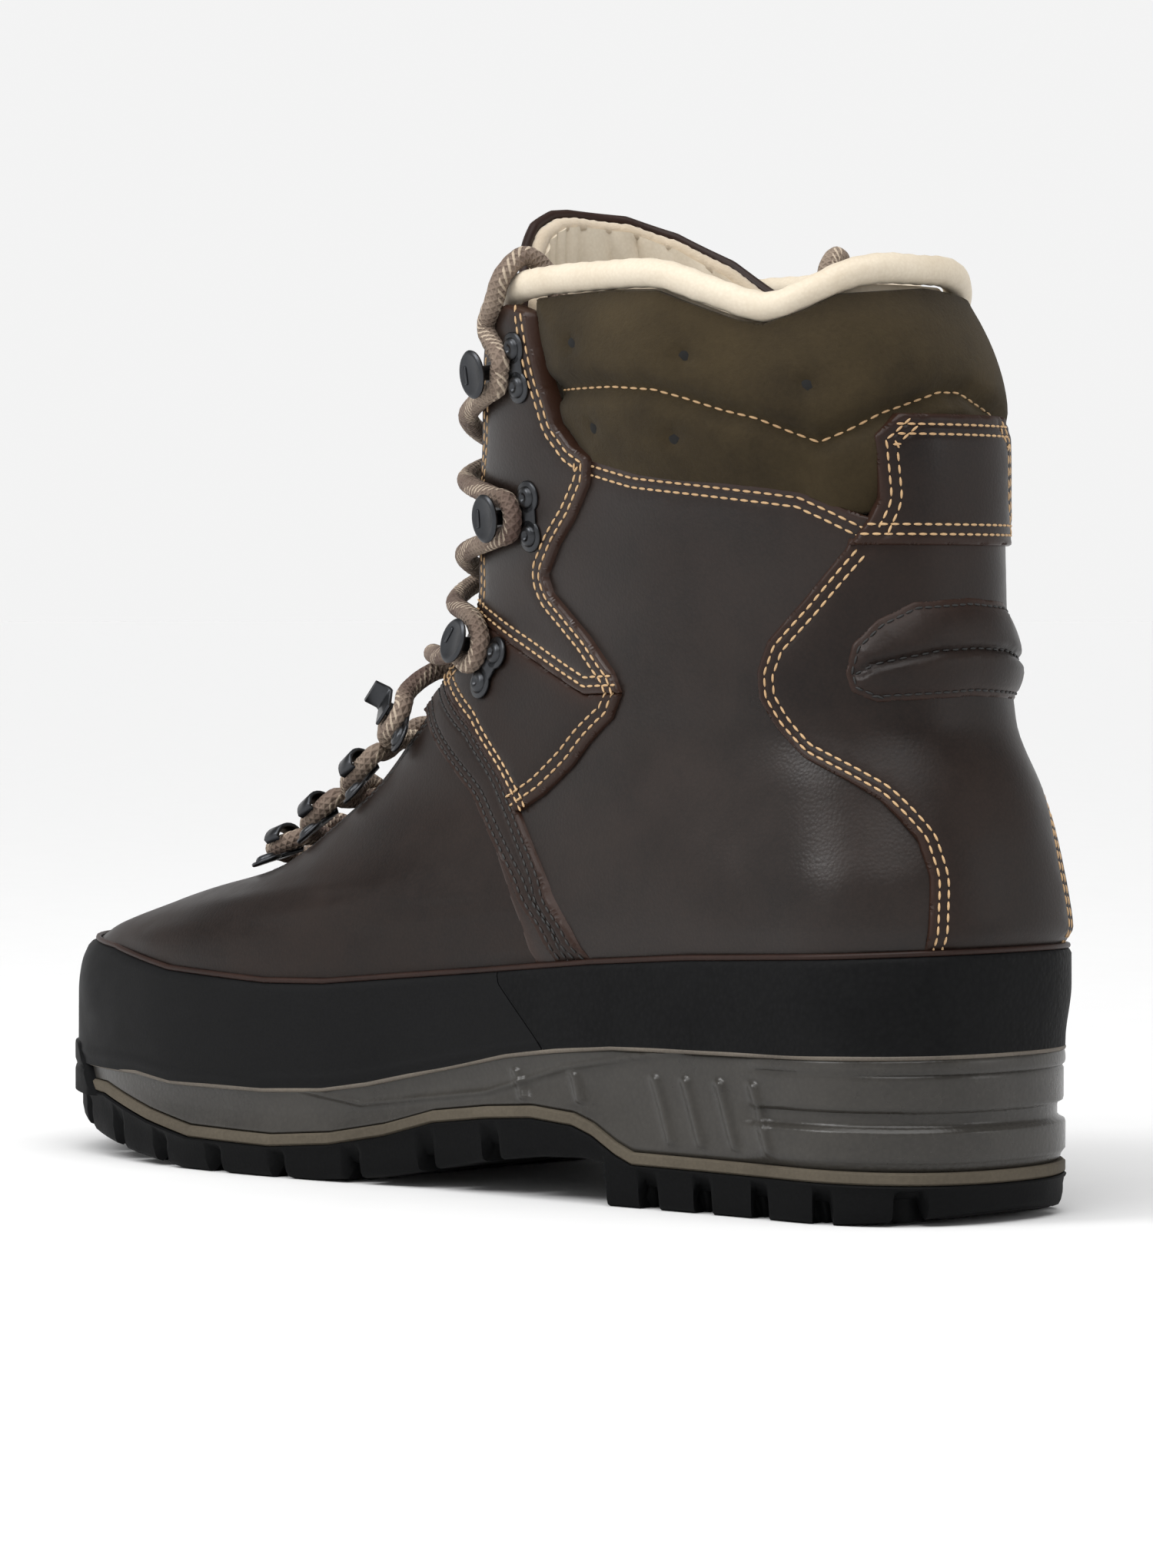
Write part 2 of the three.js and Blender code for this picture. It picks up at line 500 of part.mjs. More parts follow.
function laceStops(name, side) {
  const place = hardwareFrames[`${name}_${side}`];
  const local = name.startsWith('lace_loop') ? THROUGH_LOOP : AROUND_POST;
  const stops = local.map((p) => new THREE.Vector3(...p).applyMatrix4(place));
  const climbs = stops[stops.length - 1].z > stops[0].z;
  return climbs ? stops : stops.reverse();
}

// Point over the throat at y and z, lifted off the body surface
function throatPoint(y, z, lift) {
  const side = y < 0 ? -1 : 1;
  let [low, high] = [0.5, 1];
  for (let i = 0; i < 30; i += 1) {
    const u = (low + high) / 2;
    [low, high] = halfWidth(u, z, 0, side) > Math.abs(y) ? [u, high] : [low, u];
  }
  const [heel, toe] = sectionEnds(z, 0);
  const { point, normal } = sidePlace(heel + (toe - heel) * Math.min(low, 0.998), z, side);
  return point.setY(y).addScaledVector(Math.abs(y) < 1 ? normal.setY(0).normalize() : normal, lift);
}

// Point over the instep ridge at x and y, lifted off the body surface
function ridgePoint(x, y, lift) {
  const { point, normal } = ridgePlace(x, Math.abs(y) < 1 ? 1 : y);
  if (Math.abs(y) < 1) normal.setY(0).normalize();
  return point.setY(y).addScaledVector(normal, lift);
}

// A strand from one side of the throat to the other, lifted by `lift` in the middle
const SHOULDER = 5;
const ANKLE_BEND = 116;
function crossing(a, b, lift) {
  return [0.2, 0.5, 0.8].map((f) => {
    const p = a.clone().lerp(b, f);
    const height = f === 0.5 ? lift : SHOULDER;
    return Math.max(a.z, b.z) < ANKLE_BEND ? ridgePoint(p.x, p.y, height) : throatPoint(p.y, p.z, height);
  });
}
const ladder = HARDWARE.map(({ name }) => name);
const opposite = { lateral: 'medial', medial: 'lateral' };

// Climbs the ladder of hardware, changing sides at each step, from the lowest loop
function climb(start, layer) {
  const points = [];
  let side = start;
  for (const name of ladder) {
    const stops = laceStops(name, side);
    if (points.length) {
      const last = points[points.length - 1];
      const sunk = THREE.MathUtils.mapLinear(THREE.MathUtils.clamp(last.z, 95, 150), 95, 150, 3.2, 1.6);
      points.push(...crossing(last, stops[0], sunk + layer));
    }
    points.push(...stops);
    side = opposite[side];
  }
  return points;
}
const strandOver = climb('lateral', 2 * LACE_RADIUS + GAP);
const strandUnder = climb('medial', 0);
const bar = crossing(strandOver[0], strandUnder[0], 3.8);
const lacedRoute = [...reverse(strandOver).slice(2), ...bar, ...strandUnder.slice(0, -2)];
add('lace_laced', tube(lacedRoute, LACE_RADIUS, 170, 8, RoutedCurve), 'lace');

// ---- free lace ends -----------------------------------------------------------------------
// Each end leaves its top hook, climbs over the collar roll, hangs down the inside of the shaft and
// lies on the footbed. The places are [x, z] down the wall, then [x, y] on the footbed.
const WALL = -10.2;
const ENDS = {
  lateral: {
    climb: [[18, 203], [22, 209]], over: [[25, 215, 2.8], [27, 219.6, -2.7], [29, 215.8, -8.2]],
    wall: [[32, 208], [34, 198], [38, 170], [40, 130], [40, 90], [39, 64], [37, 50]],
    bed: [[28, -21], [12, -17], [-10, -15], [-34, -17], [-58, -21], [-80, -20], [-94, -12], [-92, -5],
      [-76, -6],
      [-60, -9], [-47, -8]],
  },
  medial: {
    climb: [[19, 203], [36, 209], [50, 213]],
    over: [[54.5, 216.6, 3.4], [57.5, 221.3, -2.6], [59.5, 217.2, -8.5]],
    wall: [[62, 208], [64, 198], [64, 170], [62, 130],
      [60, 90], [57, 64], [53, 50]],
    bed: [[42, 18], [24, 15], [2, 14], [-22, 16], [-46, 20], [-68, 19], [-82, 12], [-80, 5], [-66, 3],
      [-54, 2]],
  },
};
const AGLET_LENGTH = 16;
const bedTop = (x) => lineAt(RAND_BOTTOM, x) + FOOTBED_TOP;

function endRoute(side) {
  const sign = SIDES[side];
  const { climb: up, over, wall, bed } = ENDS[side];
  const first = new RoutedCurve(side === 'lateral' ? reverse(lacedRoute) : lacedRoute, false, 'centripetal');
  const [end, direction] = [first.getPoint(1), first.getTangent(1)];
  return [
    end.clone().addScaledVector(direction, 0.35),
    end.clone().addScaledVector(direction, 2.4),
    ...up.map(([x, z]) => sidePlace(x, z, sign, LACE_RADIUS + 1.3).point),
    ...over.map(([x, z, offset]) => sidePlace(x, z, sign, offset).point),
    ...wall.map(([x, z]) => sidePlace(x, z, sign, WALL).point),
    ...bed.map(([x, y]) => new THREE.Vector3(x, y, bedTop(x) + LACE_RADIUS + 0.8)),
  ];
}
for (const side of Object.keys(SIDES)) {
  const route = endRoute(side);
  add(`lace_end_${side}`, tube(route, LACE_RADIUS, 78), 'lace');
  const path = new THREE.CatmullRomCurve3(route, false, 'centripetal');
  const from = path.getPoint(1).addScaledVector(path.getTangent(1), 0.35);
  const to = from.clone().addScaledVector(path.getTangent(1), AGLET_LENGTH);
  add(`aglet_${side}`, tube([from, to], LACE_RADIUS - 0.3, 1), 'metal');
}

// The middle of the footprint goes to the origin
group.position.set(...FOOTPRINT_SHIFT);

export default group;
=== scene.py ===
"""Visual model of a left mountaineering boot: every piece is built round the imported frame.

Sizes are written in millimetres in the boot's own layout (x to the heel, y to the inner side,
z up, with the heel's axis at zero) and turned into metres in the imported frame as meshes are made.
"""
import logging
import math
from collections.abc import Callable, Sequence
from dataclasses import dataclass, field
from enum import Enum

import bpy
import numpy as np
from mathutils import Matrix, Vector
from mathutils.geometry import delaunay_2d_cdt


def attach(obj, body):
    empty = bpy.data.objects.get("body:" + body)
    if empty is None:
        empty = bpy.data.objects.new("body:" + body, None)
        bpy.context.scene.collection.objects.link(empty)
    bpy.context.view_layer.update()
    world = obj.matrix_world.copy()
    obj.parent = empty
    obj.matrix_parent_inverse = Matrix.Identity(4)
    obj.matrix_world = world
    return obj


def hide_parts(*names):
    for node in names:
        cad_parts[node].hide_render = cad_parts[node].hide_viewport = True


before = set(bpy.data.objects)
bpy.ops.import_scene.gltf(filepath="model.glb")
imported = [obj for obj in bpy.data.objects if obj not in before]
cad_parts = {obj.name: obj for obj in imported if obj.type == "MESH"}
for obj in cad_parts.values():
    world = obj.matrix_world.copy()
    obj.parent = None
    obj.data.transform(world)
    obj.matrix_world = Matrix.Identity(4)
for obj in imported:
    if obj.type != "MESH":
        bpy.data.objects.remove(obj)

log = logging.getLogger("boot")
Line = Sequence[tuple[float, float]]
Array = np.ndarray
Piece = bpy.types.Object
Tree = bpy.types.NodeTree
Socket = bpy.types.NodeSocket

FOOTPRINT_SHIFT = np.array([3.5, 0.88, 0.0])

# ---- the body's horizontal sections and seam lines ------------------------------------------
SECTIONS = np.array([
    [14, 148, -155, 36, 42, 50, 36, 88], [40, 147, -155, 37, 42, 50, 36, 88],
    [52, 148, -152, 38, 42, 49, 36, 86], [64, 148, -121, 38, 42, 46, 36, 84],
    [74, 147, -83, 37, 41, 42, 36, 84], [84, 145, -67, 35, 40, 38, 36, 84],
    [96, 141, -51, 33, 39, 35, 36, 82], [112, 134, -36, 31, 38, 34, 36, 78],
    [130, 132, -20, 31, 38, 34, 38, 70], [150, 131, -12, 32, 38, 35, 40, 58],
    [175, 130, -7, 34, 40, 37, 42, 48], [200, 123, -4, 36, 42, 40, 44, 44],
    [230, 116, -3, 36, 42, 40, 44, 44],
], dtype=float)
HEEL_ROUNDNESS = 2.3
TOE_ROUNDNESS = 2.2
MEDIAL_FOREFOOT = 0.95

RAND_TOP = [(-175, 54), (-137, 54), (-114, 53), (-86, 49), (-50, 47.5), (-31, 48), (-10, 50),
            (23, 53), (54, 56), (82, 58), (127, 60), (165, 62)]
RAND_BOTTOM = [(-175, 23), (-99, 22.5), (-84, 21), (-50, 21), (-31, 22), (-17, 24), (2, 28),
               (27, 33), (43, 35), (60, 36.5), (107, 37), (165, 38)]
SPLICE = [(24, 60), (25, 51), (38, 36), (42, 30)]
STRIP_FRONT = [(-20.5, 113), (-17, 112), (12, 92), (27, 77), (42, 59), (45, 44)]
STRIP_REAR = [(-11, 121), (6, 110), (19, 99), (28, 90), (43, 71), (54, 56), (57, 44)]
WING_REAR = [(28, 90), (36, 94), (46, 101), (51, 106), (59, 112), (62, 118)]
SLOT = [(2.5, 136), (12, 132.5), (50, 117.5), (62, 118)]
FACING_REAR = [(62, 118), (59, 123), (50, 131), (43, 136), (36, 141), (34, 145), (39, 152),
               (45, 158), (51, 166), (52, 172)]
COLLAR_FRONT = [(52, 172), (46, 175), (41, 180), (38, 190), (36, 198), (34, 206), (34, 209.3)]
COLLAR_LOWER = [(52, 172), (66, 169), (86, 167), (103, 165), (110, 164), (116, 161),
                (122.5, 157)]
TAB_EDGE = [(122.5, 157), (124, 162), (123.5, 170), (123, 176), (125.5, 181)]
COUNTER_EDGE = [(122.5, 157), (119, 151), (110, 139), (102, 130), (99.5, 123), (100, 117),
                (104, 111), (112, 104), (123, 99), (130, 95), (134, 91), (138, 86), (141, 78),
                (142, 62), (142, 44)]
PAD = [(125, 116.2), (120.5, 118.5), (119, 123), (120, 129.5), (124, 135), (128.5, 139)]
THROAT = [(-80, 72.8), (-67, 78), (-46, 91), (-31, 104), (-20.5, 113), (-11, 121), (-5, 127),
          (2.5, 136), (5, 142), (4, 163), (10, 183), (16, 203), (17, 206.5)]
COLLAR_TOP = [(-175, 198), (-10, 199), (2, 200.5), (14, 205), (35, 209.5), (57, 210),
              (75, 209.5), (87, 205.3), (95, 202.5), (101, 201.3), (109, 204.5), (114, 208),
              (118, 210), (165, 210)]
BEND_TOP = [(-175, 20), (-116, 19), (-94, 14), (-77, 11), (-48, 10.5), (-29, 12), (-12, 15),
            (3, 19), (20, 21), (35, 22), (48, 21), (54, 19), (61, 15), (66, 13), (165, 12)]
BEND_THICKNESS = 3.0
TREAD = [(-175, 13), (-157, 10.5), (-132, 7), (-117, 4.5), (-100, 2), (-81, 0), (-34, 0),
         (-13, 2), (20, 8), (37, 10), (50, 10.5), (58, 9.5), (58.5, 0), (126, 0), (140, 1.2),
         (153, 4), (175, 7)]
FORE_NOTCHES = (-128, -108, -88, -67, -45, -22, 1, 22)
HEEL_NOTCHES = (71, 87, 104, 122, 139)
NOTCH_WIDTH = 4.0
ZIGZAG = [(39, 188), (62, 188), (75, 187), (83, 185), (93, 182), (101, 180), (108, 177),
          (114, 174.5), (119, 177), (124, 181), (127.5, 186)]
AIR_HOLES = [(50, 198), (84, 194), (111, 187), (55, 179), (81, 176)]


ROLL_LINE = [(4, 203), (14, 207.5), (28, 210.5), (56, 211.5), (75, 211), (87, 207), (100, 203),
             (108, 206.5), (113, 210.3), (116, 211.8)]
FOOTBED_TOP = 6.6


# ---- places of the lace hardware and of the free lace ends --------------------------------------
LACE_RADIUS = 2.3
LACE_LAYER = 2 * LACE_RADIUS + 0.4    # how far the upper strand lies over the lower one
LACE_LIFT = 3.95                      # height of the lace's middle over its hardware's seat
SHOULDER = 5                        # lift of a strand where it starts over the throat
ANKLE_BEND = 116                    # height where the throat turns from the instep to the shaft
# On the instep ridge: x, distance from the middle, forward lean and lift
ON_RIDGE = {"lace_loop_1": (-82, 16, 0, 1.3), "lace_loop_2": (-65, 16.5, 0, 1.3),
            "lace_loop_3": (-48, 17, 0, 1.3), "locking_hook": (-28, 21, 0.3, 0.9)}
# On the side of the shaft: x, height, rise and lift
ON_SHAFT = {"hook_1": (12.5, 123, 0.8, 0.7), "hook_2": (30, 159, 0, 0.3), "hook_3": (29.5, 193.5, -0.1, 0)}
AROUND_POST = [(11.1, -5, 0), (5.4, -3.5, 0), (3.9, 0, 0), (5.4, 3.5, 0), (11.1, 5, 0)]
THROUGH_LOOP = [(6.4, -5.8, 0.2), (4.2, -1.8, 0.3), (4.2, 1.8, 0.3), (6.4, 5.8, 0.2)]
# Each free end climbs over the collar roll, hangs down the wall and lies on the footbed: [x, z] up
# and down the wall, [x, z, offset] over the roll, [x, y] on the footbed
WALL = -10.2
FREE_ENDS = {
    "lateral": {
        "climb": [(18, 203), (22, 209)],
        "over": [(25, 215, 2.8), (27, 219.6, -2.7), (29, 215.8, -8.2)],
        "wall": [(32, 208), (34, 198), (38, 170), (40, 130), (40, 90), (39, 64), (37, 50)],
        "bed": [(28, -21), (12, -17), (-10, -15), (-34, -17), (-58, -21), (-80, -20), (-94, -12),
                (-92, -5), (-76, -6), (-60, -9), (-47, -8)],
    },
    "medial": {
        "climb": [(19, 203), (36, 209), (50, 213)],
        "over": [(54.5, 216.6, 3.4), (57.5, 221.3, -2.6), (59.5, 217.2, -8.5)],
        "wall": [(62, 208), (64, 198), (64, 170), (62, 130), (60, 90), (57, 64), (53, 50)],
        "bed": [(42, 18), (24, 15), (2, 14), (-22, 16), (-46, 20), (-68, 19), (-82, 12), (-80, 5),
                (-66, 3), (-54, 2)],
    },
}
SIDES = {"lateral": -1, "medial": 1}


def line_at(line: Line, x: Array | float) -> Array:
    """Height of a seam line at x."""
    points = np.array(line, dtype=float)
    return np.interp(x, points[:, 0], points[:, 1])


def smooth(value: Array, low: float, high: float) -> Array:
    """Eased step from 0 at low to 1 at high."""
    t = np.clip((np.asarray(value, dtype=float) - low) / (high - low), 0, 1)
    return t * t * (3 - 2 * t)


class BodyForm:
    """The boot's outer body as horizontal sections with a rounded heel and toe."""

    def __init__(self) -> None:
        """Works out the slopes of the eased curves between the sections."""
        self.z = SECTIONS[:, 0]
        self.values = SECTIONS[:, 1:]
        slope = np.diff(self.values, axis=0) / np.diff(self.z)[:, None]
        self.tangent = np.zeros_like(self.values)
        self.tangent[0], self.tangent[-1] = slope[0], slope[-1]
        before, after = slope[:-1], slope[1:]
        same = before * after > 0
        total = np.where(same, before + after, 1)
        self.tangent[1:-1] = np.where(same, 2 * before * after / total, 0)

    def columns(self, z: Array) -> Array:
        """All seven section values at the given heights.

        Args:
            z: Heights in millimetres.

        Returns:
            An array with seven values per height.
        """
        z = np.clip(np.asarray(z, dtype=float), self.z[0], self.z[-1])
        i = np.clip(np.searchsorted(self.z, z, side="right") - 1, 0, len(self.z) - 2)
        step = self.z[i + 1] - self.z[i]
        s = ((z - self.z[i]) / step)[..., None]
        step = step[..., None]
        return (self.values[i] * (1 + 2 * s) * (1 - s) ** 2
                + self.values[i + 1] * s * s * (3 - 2 * s)
                + step * (self.tangent[i] * s * (1 - s) ** 2
                          - self.tangent[i + 1] * s * s * (1 - s)))

    def ends(self, z: Array, offset: Array | float = 0.0) -> tuple[Array, Array]:
        """Heel and toe end of the section at z, moved outwards by the offset."""
        here, over, under = self.columns(z), self.columns(z + 1), self.columns(z - 1)
        steep = np.hypot(1, (over - under)[..., :2] / 2)
        return here[..., 0] + offset * steep[..., 0], here[..., 1] - offset * steep[..., 1]

    def half_width(self, u: Array, z: Array, offset: Array | float,
                   side: Array | float) -> Array:
        """Half width at u, from 0 at the heel end to 1 at the toe end."""
        heel, toe = self.ends(z, offset)
        length = heel - toe
        _, _, heel_half, waist, fore, heel_cap, toe_cap = np.moveaxis(self.columns(z), -1, 0)
        spread = (heel_half + (waist - heel_half) * smooth(u, 0.1, 0.42)
                  + (fore - waist) * smooth(u, 0.42, 0.7))

        def rounded(share: Array, roundness: float) -> Array:
            return (1 - (1 - np.clip(share, 0, 1)) ** roundness) ** (1 / roundness)

        cap = (rounded(u * length / (heel_cap + offset), HEEL_ROUNDNESS)
               * rounded((1 - u) * length / (toe_cap + offset), TOE_ROUNDNESS))
        narrow = np.where(np.asarray(side) > 0, 1 + (MEDIAL_FOREFOOT - 1) * u, 1)
        return (spread + offset) * cap * narrow

    def at(self, around: Array, side: Array | float, z: Array,
           offset: Array | float = 0.0) -> Array:
        """Points on the body.

        Args:
            around: From 0 at the heel end to 1 at the toe end, eased at both.
            side: -1 for the outer side, 1 for the inner side.
            z: Heights.
            offset: Distance outwards from the body's surface.

        Returns:
            An array of points.
        """
        around, z = np.broadcast_arrays(np.asarray(around, float), np.asarray(z, float))
        u = (1 - np.cos(math.pi * around)) / 2
        heel, toe = self.ends(z, offset)
        y = np.where(np.asarray(side) < 0, -1, 1) * self.half_width(u, z, offset, side)
        return np.stack([heel + (toe - heel) * u, y, z + 0 * u], axis=-1)

    def around_at(self, x: Array, z: Array) -> Array:
        """The place round the section, 0 at the heel to 1 at the toe, of a given x."""
        heel, toe = self.ends(np.asarray(z, float))
        u = np.clip((heel - np.asarray(x, float)) / (heel - toe), 0, 1)
        return np.arccos(1 - 2 * u) / math.pi

    def side_place(self, x: float, z: float, side: float, offset: float = 0.0
                   ) -> tuple[Array, Array]:
        """Point on one side at a given x and height, with its outward direction."""
        def at(px: float, pz: float) -> Array:
            heel, toe = self.ends(pz, offset)
            u = np.clip((px - heel) / (toe - heel), 0, 1)
            return np.array([px, side * float(self.half_width(u, pz, offset, side)), pz])

        normal = np.cross(at(x + 0.5, z) - at(x - 0.5, z), at(x, z + 0.5) - at(x, z - 0.5))
        normal /= np.linalg.norm(normal)
        return at(x, z), normal if normal[1] * side >= 0 else -normal

    def ridge_place(self, x: float, y: float) -> tuple[Array, Array]:
        """Point near the instep ridge at x and a distance y from the middle, and its direction."""
        low, high = 44.0, 128.0
        for _ in range(40):
            z = (low + high) / 2
            heel, toe = self.ends(z)
            u = (x - heel) / (toe - heel)
            wide = u < 1 and self.half_width(u, z, 0.0, y) > abs(y)
            low, high = (z, high) if wide else (low, z)
        return self.side_place(x, low, np.sign(y))

    def front_place(self, y: Array, z: Array, offset: Array | float) -> Array:
        """Points on the body's front at a given distance from the middle and height."""
        y, z = np.broadcast_arrays(np.asarray(y, float), np.asarray(z, float))
        low, high = np.full(y.shape, 0.45), np.ones(y.shape)
        for _ in range(26):
            middle = (low + high) / 2
            wide = self.half_width(middle, z, offset, y) > np.abs(y)
            low, high = np.where(wide, middle, low), np.where(wide, high, middle)
        heel, toe = self.ends(z, offset)
        return np.stack([heel + (toe - heel) * low, y, z], axis=-1)


BODY = BodyForm()


class Unroll:
    """Flat coordinates on the body: distance round a section, and height.

    The distance counts from the heel's middle line or from the toe's, negative on the outer side.
    From the toe the height is replaced by the length of the instep ridge, which is much longer.
    """

    AROUND = np.linspace(0, 1, 321)
    LEVELS = np.arange(12, 232, 2.0)

    def __init__(self, from_toe: bool) -> None:
        """Measures the sections once."""
        self.from_toe = from_toe
        grid = BODY.at(self.AROUND[None, :], -1, self.LEVELS[:, None])
        steps = np.linalg.norm(np.diff(grid, axis=1), axis=-1)
        self.arcs = np.concatenate([np.zeros((len(self.LEVELS), 1)), np.cumsum(steps, axis=1)], 1)
        toe = BODY.ends(self.LEVELS)[1]
        rise = np.hypot(np.diff(toe), np.diff(self.LEVELS)) if from_toe else np.diff(self.LEVELS)
        self.climb = np.concatenate([[0], np.cumsum(rise)])

    def _row(self, z: float) -> Array:
        place = min(max((z - self.LEVELS[0]) / 2, 0), len(self.LEVELS) - 1.001)
        i = int(place)
        return self.arcs[i] * (1 - place + i) + self.arcs[i + 1] * (place - i)

    def flat(self, line: Line, side: int) -> Array:
        """Flat coordinates of a side-view line [x, z] on one side of the boot."""
        out = []
        for x, z in line:
            row = self._row(z)
            distance = np.interp(float(BODY.around_at(x, z)), self.AROUND, row)
            if self.from_toe:
                distance = row[-1] - distance
            out.append((side * distance, np.interp(z, self.LEVELS, self.climb)))
        return np.array(out)

    def height(self, flat: Array) -> Array:
        """Heights of flat points."""
        return np.interp(flat[:, 1], self.climb, self.LEVELS)

    def place(self, flat: Array, offset: Array | float) -> Array:
        """Points on the body for flat coordinates, lifted by the offset."""
        z = self.height(flat)
        around = np.empty(len(flat))
        for i, (s, level) in enumerate(zip(np.abs(flat[:, 0]), z)):
            row = self._row(level)
            around[i] = np.interp(row[-1] - s if self.from_toe else s, row, self.AROUND)
        return BODY.at(around, np.where(flat[:, 0] < 0, -1, 1), z, offset)


HEEL_FLAT = Unroll(from_toe=False)
TOE_FLAT = Unroll(from_toe=True)


# ---- meshes ---------------------------------------------------------------------------------
def make_object(name: str, points: Array, faces: Sequence[Sequence[int]],
                body: str = "boot") -> Piece:
    """Makes a mesh object from layout points in millimetres.

    Args:
        name: The piece's name.
        points: Corner positions in the layout.
        faces: Corner numbers of each face.
        body: The moving body that it rides on.

    Returns:
        The object, with its faces turned outwards.
    """
    mesh = bpy.data.meshes.new(name)
    metres = (np.asarray(points, float) + FOOTPRINT_SHIFT) / 1000
    mesh.from_pydata(metres.tolist(), [], [list(map(int, f)) for f in faces])
    mesh.validate()
    mesh.polygons.foreach_set("use_smooth", [True] * len(mesh.polygons))
    mesh.set_sharp_from_angle(angle=math.radians(50))
    if signed_volume(mesh) < 0:
        mesh.flip_normals()
    obj = bpy.data.objects.new(name, mesh)
    bpy.context.scene.collection.objects.link(obj)
    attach(obj, body)
    return obj


def signed_volume(mesh: bpy.types.Mesh) -> float:
    """Six times the volume inside the mesh, negative if its faces point inwards."""
    mesh.calc_loop_triangles()
    count = len(mesh.loop_triangles)
    corners = np.empty(count * 3, dtype=np.int32)
    mesh.loop_triangles.foreach_get("vertices", corners)
    places = np.empty(len(mesh.vertices) * 3)
    mesh.vertices.foreach_get("co", places)
    a, b, c = places.reshape(-1, 3)[corners.reshape(-1, 3)].transpose(1, 0, 2)
    return float(np.einsum("ij,ij->", a, np.cross(b, c)))


def grid_faces(rows: int, columns: int, wrap_rows: bool = False, wrap_columns: bool = False,
               start: int = 0) -> list[tuple[int, int, int, int]]:
    """Quads of a grid of points that are numbered row by row from start."""
    faces = []
    for r in range(rows if wrap_rows else rows - 1):
        for c in range(columns if wrap_columns else columns - 1):
            a, b = r * columns + c, r * columns + (c + 1) % columns
            d, e = ((r + 1) % rows) * columns + c, ((r + 1) % rows) * columns + (c + 1) % columns
            faces.append((start + a, start + b, start + e, start + d))
    return faces


def shell(name: str, outer: Array, inner: Array, wrap: bool = False,
          body: str = "boot") -> Piece:
    """Closed sheet between two grids of points of the same shape.

    Args:
        name: The piece's name.
        outer: Outer points, rows by columns by 3.
        inner: Inner points of the same shape.
        wrap: Whether the columns run all the way round.
        body: The moving body.

    Returns:
        The object.
    """
    rows, columns = outer.shape[:2]
    loop = np.concatenate([outer, inner[::-1]], axis=0)
    faces = grid_faces(2 * rows, columns, wrap_rows=True, wrap_columns=wrap)
    if not wrap:
        for c in (0, columns - 1):
            for r in range(rows - 1):
                a, b = r * columns + c, (r + 1) * columns + c
                d, e = (2 * rows - 1 - r) * columns + c, (2 * rows - 2 - r) * columns + c
                faces.append((a, b, e, d) if c == 0 else (d, e, b, a))
    return make_object(name, loop.reshape(-1, 3), faces, body)


def catmull(points: Sequence[Sequence[float]], step: float, samples: int = 16) -> Array:
    """Even points on a centripetal Catmull-Rom curve.

    Args:
        points: Places that the curve goes through.
        step: Distance between the points that come back.
        samples: Straight pieces that stand for each stretch between two places.

    Returns:
        An array of points, evenly spaced along the curve.
    """
    p = np.array(points, float)
    p = np.concatenate([[2 * p[0] - p[1]], p, [2 * p[-1] - p[-2]]])
    fine = []
    for a, b, c, d in zip(p[:-3], p[1:-2], p[2:-1], p[3:]):
        knots = np.cumsum([0] + [max(np.linalg.norm(q - r), 1e-4) ** 0.5
                                 for q, r in ((a, b), (b, c), (c, d))])
        t = np.linspace(knots[1], knots[2], samples + 1)[:-1, None]
        t0, t1, t2, t3 = knots
        ab = (t1 - t) / (t1 - t0) * a + (t - t0) / (t1 - t0) * b
        bc = (t2 - t) / (t2 - t1) * b + (t - t1) / (t2 - t1) * c
        cd = (t3 - t) / (t3 - t2) * c + (t - t2) / (t3 - t2) * d
        abc = (t2 - t) / (t2 - t0) * ab + (t - t0) / (t2 - t0) * bc
        bcd = (t3 - t) / (t3 - t1) * bc + (t - t1) / (t3 - t1) * cd
        fine.extend((t2 - t) / (t2 - t1) * abc + (t - t1) / (t2 - t1) * bcd)
    fine.append(p[-2])
    return resample(np.array(fine), step)


def resample(points: Array, step: float) -> Array:
    """Even points along a polyline, ends kept."""
    lengths = np.linalg.norm(np.diff(points, axis=0), axis=1)
    along = np.concatenate([[0], np.cumsum(lengths)])
    count = max(int(round(along[-1] / step)), 1) + 1
    wanted = np.linspace(0, along[-1], count)
    return np.stack([np.interp(wanted, along, points[:, k]) for k in range(points.shape[1])], 1)


